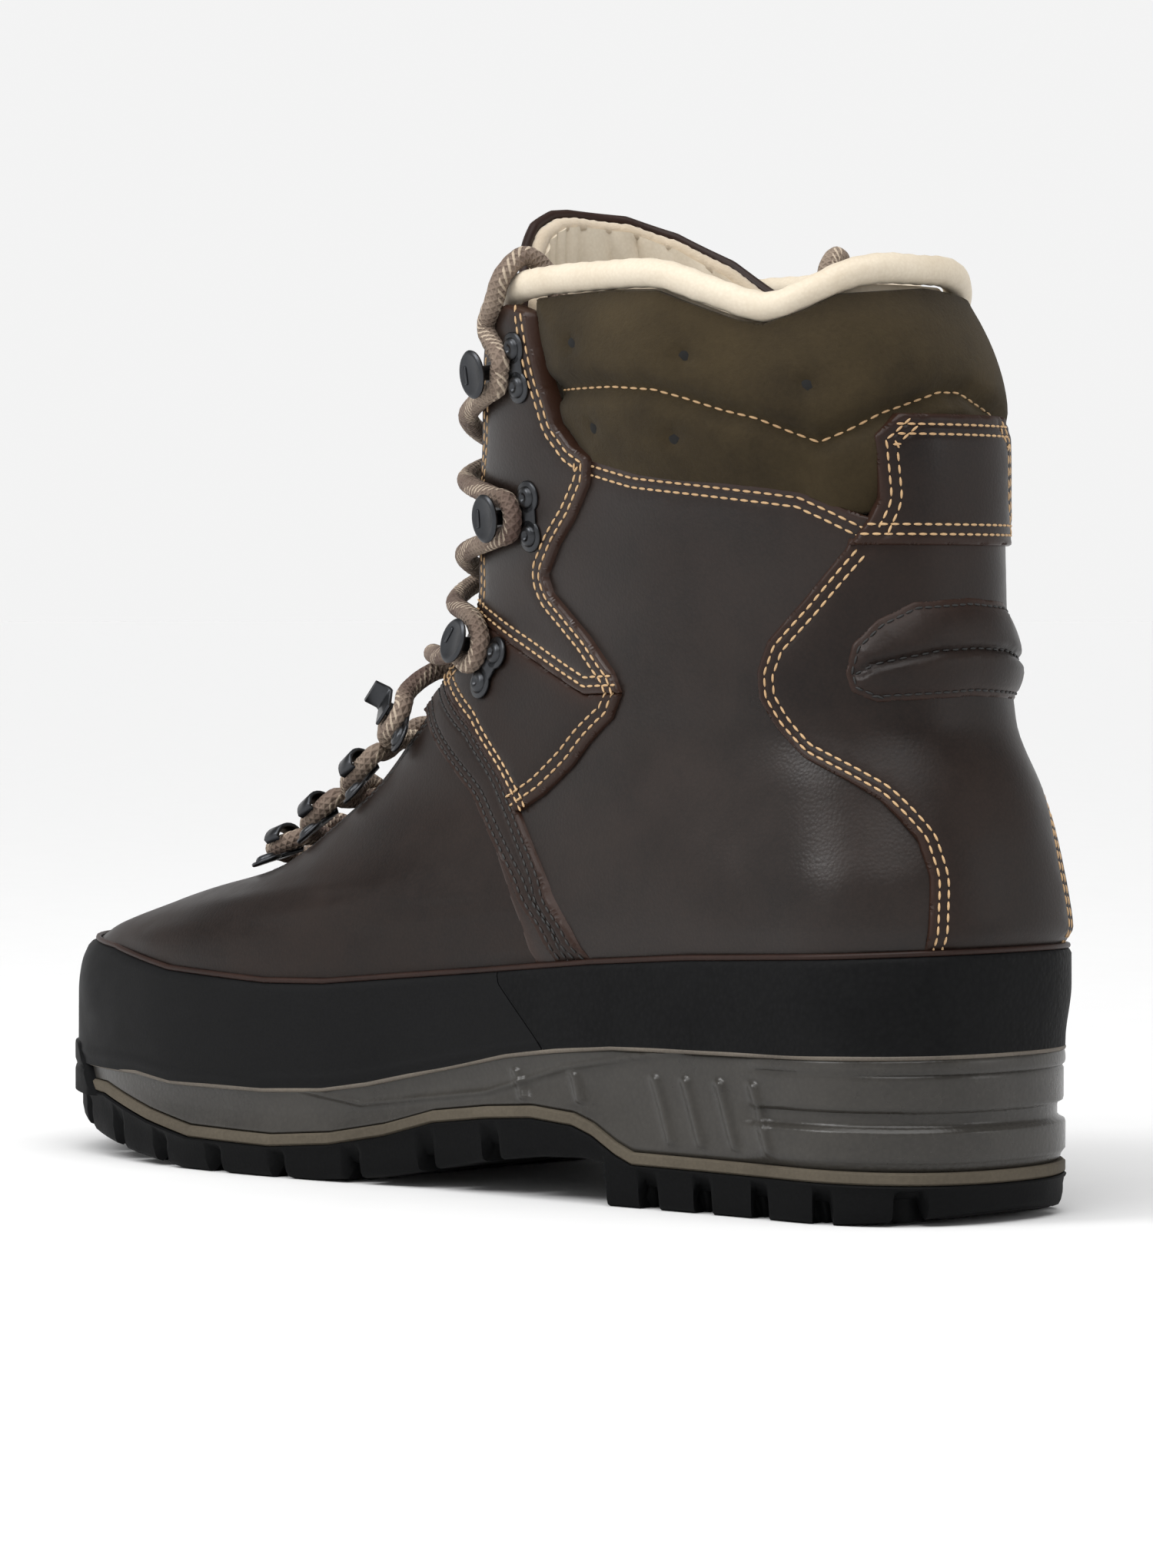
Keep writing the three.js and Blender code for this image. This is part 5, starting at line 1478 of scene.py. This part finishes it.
@dataclass
class Tongue:
    """Padded tongue with a nubuck face, a piled edge and a gathered lining.

    Attributes:
        outer: Offset of its front face.
        inner: Offset of its back face.
        bottom: Height of its lower end.
    """

    outer: float = -6.9
    inner: float = -12.0
    bottom: float = 84.0

    def _grid(self, rows: int, columns: int, shrink: float) -> tuple[Array, ...]:
        """Places over the tongue: around, side, height and the two shares."""
        p = np.linspace(-1, 1, columns)[None, :]
        top = np.interp(p, [-1, -0.8, -0.5, -0.2, 0, 0.35, 0.62, 0.85, 1],
                        [210, 220, 226.5, 229.5, 230, 229, 225, 218, 209]) - shrink
        v = np.sin(np.linspace(0, math.pi / 2, rows))[:, None]
        z = self.bottom + (top - self.bottom) * v
        left = np.interp(z, [84, 110, 150, 186, 207, 225], [0.10, 0.16, 0.23, 0.25, 0.22, 0.20])
        right = np.interp(z, [84, 110, 150, 175, 190, 210, 225], [0.10, 0.16, 0.27, 0.38, 0.43, 0.42, 0.36])
        q = np.where(p < 0, p * left, p * right) * (1 - shrink / 60)
        return 1 - np.abs(q), np.where(q < 0, -1, 1), z, p + 0 * z, v + 0 * p

    def build(self) -> dict[str, Piece]:
        """Makes the tongue's pieces on its own moving body."""
        around, side, z, p, v = self._grid(90, 90, 1.2)
        rim = smooth(1 - np.abs(p), 0, 0.12) * smooth(1 - v, 0, 0.03)
        uneven = wobble(np.dstack([p * 30, z]).reshape(-1, 2), 26, 8).reshape(z.shape)
        face = self.outer - 1.6 + 1.6 * rim + 0.5 * uneven
        front = BODY.at(around, side, z, np.minimum(face, -6.6))
        middle = BODY.at(around, side, z, -9.5)
        pleats = 1.5 * np.abs(np.sin(p * 17 + 0.6 * np.sin(z / 19))) ** 0.6
        gathered = pleats * smooth(1 - np.abs(p), 0, 0.15) * smooth(v, 0.2, 0.7)
        back = BODY.at(around, side, z, self.inner + 0.9 - gathered)
        pieces = {
            "face": NUBUCK.dress(shell("tongue_face", front, middle, body="tongue")),
            "lining": CREAM.dress(shell("tongue_pleated_lining", BODY.at(around, side, z, -9.7), back,
                                        body="tongue")),
        }
        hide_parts("tongue_outer")
        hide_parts("tongue_lining")
        around, side, z, _, _ = self._grid(60, 140, 0.6)
        ring = BODY.at(around, side, z - 0.3, -9.9)
        border = resample(np.vstack([ring[14:, 0], ring[-1, 1:], ring[-2:13:-1, -1]]), 1.1)
        pieces["pile"] = FUZZ.dress(sweep(
            "tongue_piled_edge", border,
            lambda a, t: 2.0 + 0.25 * np.sin(a * 1.1) * np.cos(2 * math.pi * t + a), 12, body="tongue"))
        ring = BODY.at(around, side, z + 2.4, -7.6)
        border = resample(np.vstack([ring[14:, 0], ring[-1, 1:], ring[-2:13:-1, -1]]), 1.1)
        pieces["binding"] = PIPING.dress(sweep("tongue_binding", border, 1.3, 8, body="tongue"))
        y = np.linspace(-13, 13, 24)[None, :]
        low = np.linspace(56, 84, 24)[:, None]
        pieces["root"] = NUBUCK.dress(shell("tongue_root", BODY.front_place(y, low, -7.2),
                                            BODY.front_place(y, low, -9.8)))
        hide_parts("tongue_base")
        return pieces


# ---- lacing -------------------------------------------------------------------------------------
class Lacing:
    """Where the lace hardware sits, and how the lace runs through it and over the throat."""

    def __init__(self) -> None:
        """Works out the hardware's places and the laced run once."""
        self.seats = {f"{name}_{label}": self._seat(name, side)
                      for name in (*ON_RIDGE, *ON_SHAFT) for label, side in SIDES.items()}
        over, under = self._climb("lateral", LACE_LAYER), self._climb("medial", 0)
        bar = self._crossing(over[0], under[0], 3.8)
        self.exact = np.array([*over[::-1][2:], *bar, *under[:-2]])
        self.laced = np.round(self.exact, 1)

    @staticmethod
    def _seat(name: str, side: int) -> tuple[Array, Array, Array]:
        """Place, forward and outward directions of one piece of hardware."""
        if name in ON_RIDGE:
            x, y, ahead, lift = ON_RIDGE[name]
            point, normal = BODY.ridge_place(x, y * side)
            forward = np.array([-ahead, -side, ahead])
        else:
            x, z, rise, lift = ON_SHAFT[name]
            point, normal = BODY.side_place(x, z, side)
            forward = np.array([-1, 0, rise])
        forward = forward - normal * (forward @ normal)
        return point + normal * lift, forward / np.linalg.norm(forward), normal

    def _stops(self, name: str, label: str) -> list[Array]:
        """Where the lace runs at one piece of hardware, from below to above."""
        place, forward, normal = self.seats[f"{name}_{label}"]
        basis = np.array([forward, np.cross(normal, forward), normal])
        local = np.array(THROUGH_LOOP if "loop" in name else AROUND_POST) + [0, 0, LACE_LIFT]
        stops = list(local @ basis + place)
        return stops if stops[-1][2] > stops[0][2] else stops[::-1]

    @staticmethod
    def _over_throat(point: Array, lift: float, on_ridge: bool) -> Array:
        """The point moved on to the instep ridge or the shaft's front, lifted off the body."""
        x, y, z = point
        middle = abs(y) < 1
        if on_ridge:
            place, normal = BODY.ridge_place(x, 1 if middle else y)
        else:
            side = -1 if y < 0 else 1
            low, high = 0.5, 1.0
            for _ in range(30):
                u = (low + high) / 2
                low, high = (u, high) if BODY.half_width(u, z, 0.0, side) > abs(y) else (low, u)
            heel, toe = BODY.ends(z)
            place, normal = BODY.side_place(heel + (toe - heel) * min(low, 0.998), z, side)
        if middle:
            normal = normal * [1, 0, 1] / np.hypot(normal[0], normal[2])
        return np.array([place[0], y, place[2]]) + normal * lift

    def _crossing(self, a: Array, b: Array, lift: float) -> list[Array]:
        """A strand from one side of the throat to the other, lifted in the middle."""
        low = max(a[2], b[2]) < ANKLE_BEND
        return [self._over_throat(a + (b - a) * f, lift if f == 0.5 else SHOULDER, low)
                for f in (0.2, 0.5, 0.8)]

    def _climb(self, label: str, layer: float) -> list[Array]:
        """Climbs the hardware from the lowest loop, changing sides at each step."""
        points = []
        for name in (*ON_RIDGE, *ON_SHAFT):
            stops = self._stops(name, label)
            if points:
                sunk = np.interp(points[-1][2], [95, 150], [3.2, 1.6])
                points += self._crossing(points[-1], stops[0], sunk + layer)
            points += stops
            label = "medial" if label == "lateral" else "lateral"
        return points

    def free_end(self, label: str) -> Array:
        """Route of one free end, from its top hook to its tip."""
        ways, side = FREE_ENDS[label], SIDES[label]
        run = self.exact[::-1] if label == "lateral" else self.exact
        run = catmull(run[-4:], 0.01, 100)
        end, direction = run[-1], (run[-1] - run[-2]) / np.linalg.norm(run[-1] - run[-2])
        return np.round(np.array([
            end + direction * 0.35, end + direction * 2.4,
            *(BODY.side_place(x, z, side, LACE_RADIUS + 1.3)[0] for x, z in ways["climb"]),
            *(BODY.side_place(x, z, side, offset)[0] for x, z, offset in ways["over"]),
            *(BODY.side_place(x, z, side, WALL)[0] for x, z in ways["wall"]),
            *((x, y, line_at(RAND_BOTTOM, x) + FOOTBED_TOP + LACE_RADIUS + 0.8) for x, y in ways["bed"]),
        ]), 1)


# ---- lace hardware ----------------------------------------------------------------------------
Part = tuple[Array, list[Sequence[int]]]


def turned(profile: Line, x: float = 0, y: float = 0, wide: tuple[float, float] = (1, 1),
           sides: int = 24) -> Part:
    """Closed form turned about an upright axis from [radius, height] points, ends on the axis."""
    middle = np.array(profile[1:-1], float)
    angle = 2 * math.pi * np.arange(sides) / sides
    rings = np.stack([x + middle[:, :1] * np.cos(angle) * wide[0],
                      y + middle[:, :1] * np.sin(angle) * wide[1],
                      middle[:, 1:] + 0 * angle], axis=-1).reshape(-1, 3)
    points = np.vstack([rings, [x, y, profile[0][1]], [x, y, profile[-1][1]]])
    rows = len(middle)
    faces: list[Sequence[int]] = list(grid_faces(rows, sides, False, True))
    for k in range(sides):
        j = (k + 1) % sides
        faces.append((rows * sides, j, k))
        faces.append((rows * sides + 1, (rows - 1) * sides + k, (rows - 1) * sides + j))
    return points, faces


def pressed(outline: Line, low: float, high: float, sideways: bool = False, bevel: float = 0.22) -> Part:
    """Pressed sheet of a closed outline with softened rims, flat or standing on edge."""
    flat = np.array(outline, float)
    if area(flat) < 0:
        flat = flat[::-1]
    ahead, behind = np.roll(flat, -1, axis=0) - flat, flat - np.roll(flat, 1, axis=0)
    normal = np.stack([-(ahead + behind)[:, 1], (ahead + behind)[:, 0]], axis=1)
    small = flat + bevel * normal / np.maximum(np.linalg.norm(normal, axis=1), 1e-6)[:, None]
    levels = ((small, low), (flat, low + bevel), (flat, high - bevel), (small, high))
    points = np.vstack([np.column_stack([ring, np.full(len(ring), z)]) for ring, z in levels])
    if sideways:
        points = points[:, [0, 2, 1]]
    n = len(flat)
    faces: list[Sequence[int]] = list(grid_faces(4, n, False, True))
    faces += [tuple(range(n))[::-1], tuple(range(3 * n, 4 * n))]
    if sideways:
        faces = [tuple(f)[::-1] for f in faces]
    return points, faces


def rounded_slab(x0: float, x1: float, half: float, corner: float) -> list[tuple[float, float]]:
    """Rectangle outline with rounded corners, across the middle line."""
    out = []
    for cx, cy, start in ((x1 - corner, half - corner, 0), (x0 + corner, half - corner, 90),
                          (x0 + corner, corner - half, 180), (x1 - corner, corner - half, 270)):
        for step in range(5):
            angle = math.radians(start + step * 22.5)
            out.append((cx + corner * math.cos(angle), cy + corner * math.sin(angle)))
    return out


@dataclass
class LaceHardware:
    """Riveted hooks, locking hooks and lace loops of pressed steel.

    Attributes:
        seat: Clearance under a plate.
        plate: Thickness of the sheet.
        post_at: Distance from the rivets to a hook's post.
        rivet: Radius of a rivet's head.
    """

    seat: float = 0.3
    plate: float = 1.0
    post_at: float = 8.5
    rivet: float = 2.4

    @property
    def top(self) -> float:
        """Height of a plate's face."""
        return self.seat + self.plate

    def _lobe(self, x: float, y: float) -> list[Part]:
        low, top = self.seat, self.top
        head = self.rivet
        return [
            turned([(0, low), (3.6, low), (3.9, low + 0.25), (3.9, top - 0.25), (3.6, top), (0, top)], x, y),
            turned([(0, top - 0.1), (head + 0.25, top - 0.1), (head + 0.2, top + 0.35),
                    (head - 0.3, top + 0.85), (head - 1.0, top + 1.1), (0.9, top + 0.95), (0.6, top + 0.6),
                    (0, top + 0.55)], x, y),
        ]

    def _hook(self) -> list[Part]:
        top = self.top
        disc = [(0, top + 5.0), (0.8, top + 5.0), (1.0, top + 5.35), (1.02, top + 5.8), (0.93, top + 6.3),
                (0.82, top + 6.35), (0.7, top + 6.0), (0, top + 5.85)]
        return [*self._lobe(0, 4.5), *self._lobe(0, -4.5),
                pressed([(-2.6, -3.2), (1.5, -3.4), (4.5, -2.7), (10.5, -2.7), (11.5, -1.6), (11.5, 1.6),
                         (10.5, 2.7), (4.5, 2.7), (1.5, 3.4), (-2.6, 3.2)], self.seat, top),
                turned([(0, self.seat), (2.3, top - 0.2), (1.8, top + 0.6), (1.7, top + 4.2),
                        (2.3, top + 5.1), (0, top + 5.2)], self.post_at, 0),
                turned(disc, self.post_at + 0.5, 0, (4.6, 5.6), 36),
                pressed(rounded_slab(self.post_at + 2.2, self.post_at + 3.4, 2.2, 0.5), top + 5.95,
                        top + 6.2)]

    def _lock(self) -> list[Part]:
        top, post = self.top, self.post_at
        jaw = [(post - 3.6, top + 5.1), (post + 2.6, top + 5.1), (post + 3.2, top + 5.6),
               (post + 3.4, top + 8.8), (post + 4.4, top + 9.0), (post + 4.4, top + 5.2),
               (post + 3.6, top + 4.2), (post - 3.2, top + 4.1), (post - 3.8, top + 4.5)]
        return [*self._lobe(-1, 0), pressed(rounded_slab(-3.6, post + 2.4, 3.6, 1.4), self.seat, top),
                turned([(0, self.seat), (2.3, top - 0.2), (1.8, top + 0.6), (1.7, top + 4.2),
                        (0, top + 4.4)], post, 0),
                pressed(jaw, -3.3, 3.3, sideways=True)]

    def _loop(self) -> list[Part]:
        low, top = self.seat, self.top
        inner, outer = [], []
        for angle in range(200, -31, -15):
            a = math.radians(angle)
            inner.append((4.9 + 3.7 * math.cos(a), top + 3.0 + 3.0 * math.sin(a)))
            outer.append((4.9 + 4.8 * math.cos(a), top + 3.0 + 4.1 * math.sin(a)))
        arch = [(-3.0, low), (7.8, low), *reversed(outer[3:]), *inner[2:-1], (7.2, top), (-3.0, top)]
        return [*self._lobe(-3, 0), pressed(arch, -2.5, 2.5, sideways=True)]

    def build(self, lacing: Lacing) -> list[Piece]:
        """Makes every hook, locking hook and loop in its place."""
        made = []
        kinds = {"lace_loop": self._loop, "locking": self._lock, "hook": self._hook}
        for node, (place, forward, normal) in lacing.seats.items():
            kind = next(make for prefix, make in kinds.items() if node.startswith(prefix))
            basis = np.array([forward, np.cross(normal, forward), normal])
            lift = np.array(normal) * (1.4 if "lace_loop" not in node else 0.6)
            points, faces, start = [], [], 0
            for part_points, part_faces in kind():
                points.append(part_points @ basis + np.array(place) + lift)
                faces += [tuple(start + k for k in f) for f in part_faces]
                start += len(part_points)
            obj = make_object(f"{node}_fitting", np.vstack(points), faces)
            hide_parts(node)
            made.append(GUNMETAL.dress(obj))
        return made


# ---- lace -------------------------------------------------------------------------------------
@dataclass
class Lace:
    """One plaited lace: the laced run and its two free ends, which hang inside the shaft.

    Attributes:
        lacing: The places that it runs through.
        radius: Half the cord's thickness.
        tip_length: Length of the metal tips.
    """

    lacing: Lacing
    radius: float = LACE_RADIUS
    tip_length: float = 16.0

    def _cord(self, name: str, path: Array) -> Piece:
        def size(along: Array, turn: Array) -> Array:
            first = np.sin(2 * math.pi * (along / 3.2 + 3 * turn))
            second = np.sin(2 * math.pi * (along / 3.2 - 3 * turn))
            return self.radius + 0.07 * np.maximum(first, second)

        return LACE_FINISH.dress(sweep(name, path, size, 16))

    def free_ends(self) -> None:
        for label in SIDES:
            path = catmull(self.lacing.free_end(label), 1.0)
            cord = self._cord(f"lace_free_end_{label}", path)
            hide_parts(f"lace_end_{label}")
            way = path[-1] - path[-2]
            way /= np.linalg.norm(way)
            rod = np.array([path[-1] + way * (0.1 + k) for k in np.linspace(0, self.tip_length, 24)])
            tip = GUNMETAL.dress(sweep(f"lace_tip_{label}", rod, lambda a, t: self.radius - 0.3 - 0.35 *
                                       smooth(a, self.tip_length - 3, self.tip_length) + 0 * t, 16))
            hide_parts(f"aglet_{label}")
            length = float(np.linalg.norm(np.diff(path, axis=0), axis=1).sum())
            log.info("free lace end %s: %.1f mm", label, length)

    def laced(self) -> Piece:
        """Makes the run through the loops and hooks."""
        obj = self._cord("lace_through_hooks", catmull(self.lacing.laced, 0.9))
        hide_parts("lace_laced")
        return obj


# ---- studio -----------------------------------------------------------------------------------
@dataclass
class Studio:
    """Pale floor, soft lights and the camera.

    Attributes:
        camera_place: Camera position in the layout.
        heading: Direction it looks along in plan.
        pitch: Degrees it looks down.
        lens: Focal length in millimetres.
        sky_fade: Heights between which the surroundings darken, and their two strengths.
    """

    camera_place: tuple[float, float, float] = (1018.1, -993.0, 136.8)
    heading: tuple[float, float] = (-0.71325, 0.70091)
    pitch: float = 1.68
    lens: float = 135.4
    sky_fade: tuple[float, float, float, float] = (0.2, 0.5, 0.9, 0.22)

    def camera(self) -> None:
        """Sets up the camera."""
        data = bpy.data.cameras.new("camera")
        data.lens = self.lens
        data.sensor_width = 36
        data.sensor_fit = "AUTO"
        obj = bpy.data.objects.new("camera", data)
        bpy.context.scene.collection.objects.link(obj)
        obj.location = (np.array(self.camera_place) + FOOTPRINT_SHIFT) / 1000
        down = math.radians(self.pitch)
        look = Vector((self.heading[0] * math.cos(down), self.heading[1] * math.cos(down), -math.sin(down)))
        obj.rotation_mode = "QUATERNION"
        obj.rotation_quaternion = look.to_track_quat("-Z", "Y")
        bpy.context.scene.camera = obj

    def lights(self) -> None:
        """Sets up the floor, the pale surroundings and two soft lights."""
        mesh = bpy.data.meshes.new("floor")
        mesh.from_pydata([(-60, -60, 0), (60, -60, 0), (60, 60, 0), (-60, 60, 0)], [], [(0, 1, 2, 3)])
        floor = bpy.data.objects.new("floor", mesh)
        bpy.context.scene.collection.objects.link(floor)
        paper = Finish("floor_paper", (0.79, 0.79, 0.79), (0.81, 0.81, 0.81), (0.9, 1.0), Grain.NAP, 4, 0.01)
        paper.dress(floor)
        world = bpy.data.worlds.new("surroundings")
        bpy.context.scene.world = world
        world.use_nodes = True
        tree = world.node_tree
        place = tree.nodes.new("ShaderNodeTexCoord")
        split = tree.nodes.new("ShaderNodeSeparateXYZ")
        fade = tree.nodes.new("ShaderNodeMapRange")
        fade.interpolation_type = "SMOOTHSTEP"
        for label, value in zip(("From Min", "From Max", "To Min", "To Max"), self.sky_fade):
            fade.inputs[label].default_value = value
        tree.links.new(place.outputs["Generated"], split.inputs[0])
        tree.links.new(split.outputs[2], fade.inputs["Value"])
        tree.nodes["Background"].inputs[0].default_value = (1, 1, 1, 1)
        tree.links.new(fade.outputs["Result"], tree.nodes["Background"].inputs[1])
        sun = bpy.data.lights.new("overhead", "SUN")
        sun.energy = 2.84
        sun.angle = math.radians(65)
        overhead = bpy.data.objects.new("overhead", sun)
        bpy.context.scene.collection.objects.link(overhead)
        overhead.rotation_mode = "QUATERNION"
        overhead.rotation_quaternion = Vector((-0.25, 0.3, -1)).to_track_quat("-Z", "Y")
        for name, place, size, power in (("key", (-0.4, -1.15, 1.0), 0.5, 9),
                                         ("rim", (1.4, 0.7, 0.5), 0.4, 1.2)):
            data = bpy.data.lights.new(name, "AREA")
            data.size = size
            data.energy = power
            light = bpy.data.objects.new(name, data)
            bpy.context.scene.collection.objects.link(light)
            light.location = place
            light.rotation_mode = "QUATERNION"
            light.rotation_quaternion = (Vector((0, 0, 0.1)) - Vector(place)).to_track_quat("-Z", "Y")
        bpy.context.scene.view_settings.view_transform = "Standard"


def dress_hidden_nodes() -> None:
    """Gives the CAD pieces that stay inside the boot their finishes."""
    for node, finish in (("shank", STEEL), ("insole_board", BOARD), ("toe_stiffener", BOARD),
                         ("heel_stiffener", BOARD)):
        finish.dress(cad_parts[node])


def decorate(upper: Upper) -> None:
    """Lays the stitch rows along the seams."""
    dark = ("pad", "strip", "vamp")
    lines = [line for panel in upper.panels if not any(word in panel.name for word in dark)
             for line in panel.stitch_lines()]
    Stitching().build("seam_stitches", lines, THREAD)
    pads = [line for panel in upper.panels if any(word in panel.name for word in dark)
            for line in panel.stitch_lines()]
    Stitching(pitch=2.4, length=2.0).build("pad_stitches", pads, BLACK_THREAD)
    pad = next(p for p in upper.panels if "pad" in p.name)
    row = resample(upper.pad_row, 1.2)
    Stitching(pitch=2.6, length=1.9).build(
        "pad_crease_stitches", [HEEL_FLAT.place(row, pad.lift(row) + 0.15)], BLACK_THREAD)
    collar = next(p for p in upper.panels if "collar" in p.name)
    quilt = resample(upper.quilting, 1.2)
    Stitching(pitch=3.0, length=2.3, thickness=0.6).build(
        "collar_quilting_stitches", [HEEL_FLAT.place(quilt, collar.lift(quilt) + 0.15)], THREAD)


def main() -> None:
    """Builds the boot in order."""
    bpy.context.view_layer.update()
    studio = Studio()
    studio.camera()
    lacing = Lacing()
    lace = Lace(lacing)
    lace.free_ends()
    lace.laced()
    log.info("lace made")
    SoleUnit().build()
    log.info("sole made")
    upper = Upper()
    upper.build()
    decorate(upper)
    log.info("upper made")
    ShaftInside().build()
    Tongue().build()
    LaceHardware().build(lacing)
    dress_hidden_nodes()
    studio.lights()
    log.info("all pieces made")


if __name__ == "__main__":
    logging.basicConfig(level=logging.INFO, format="%(message)s")
    main()
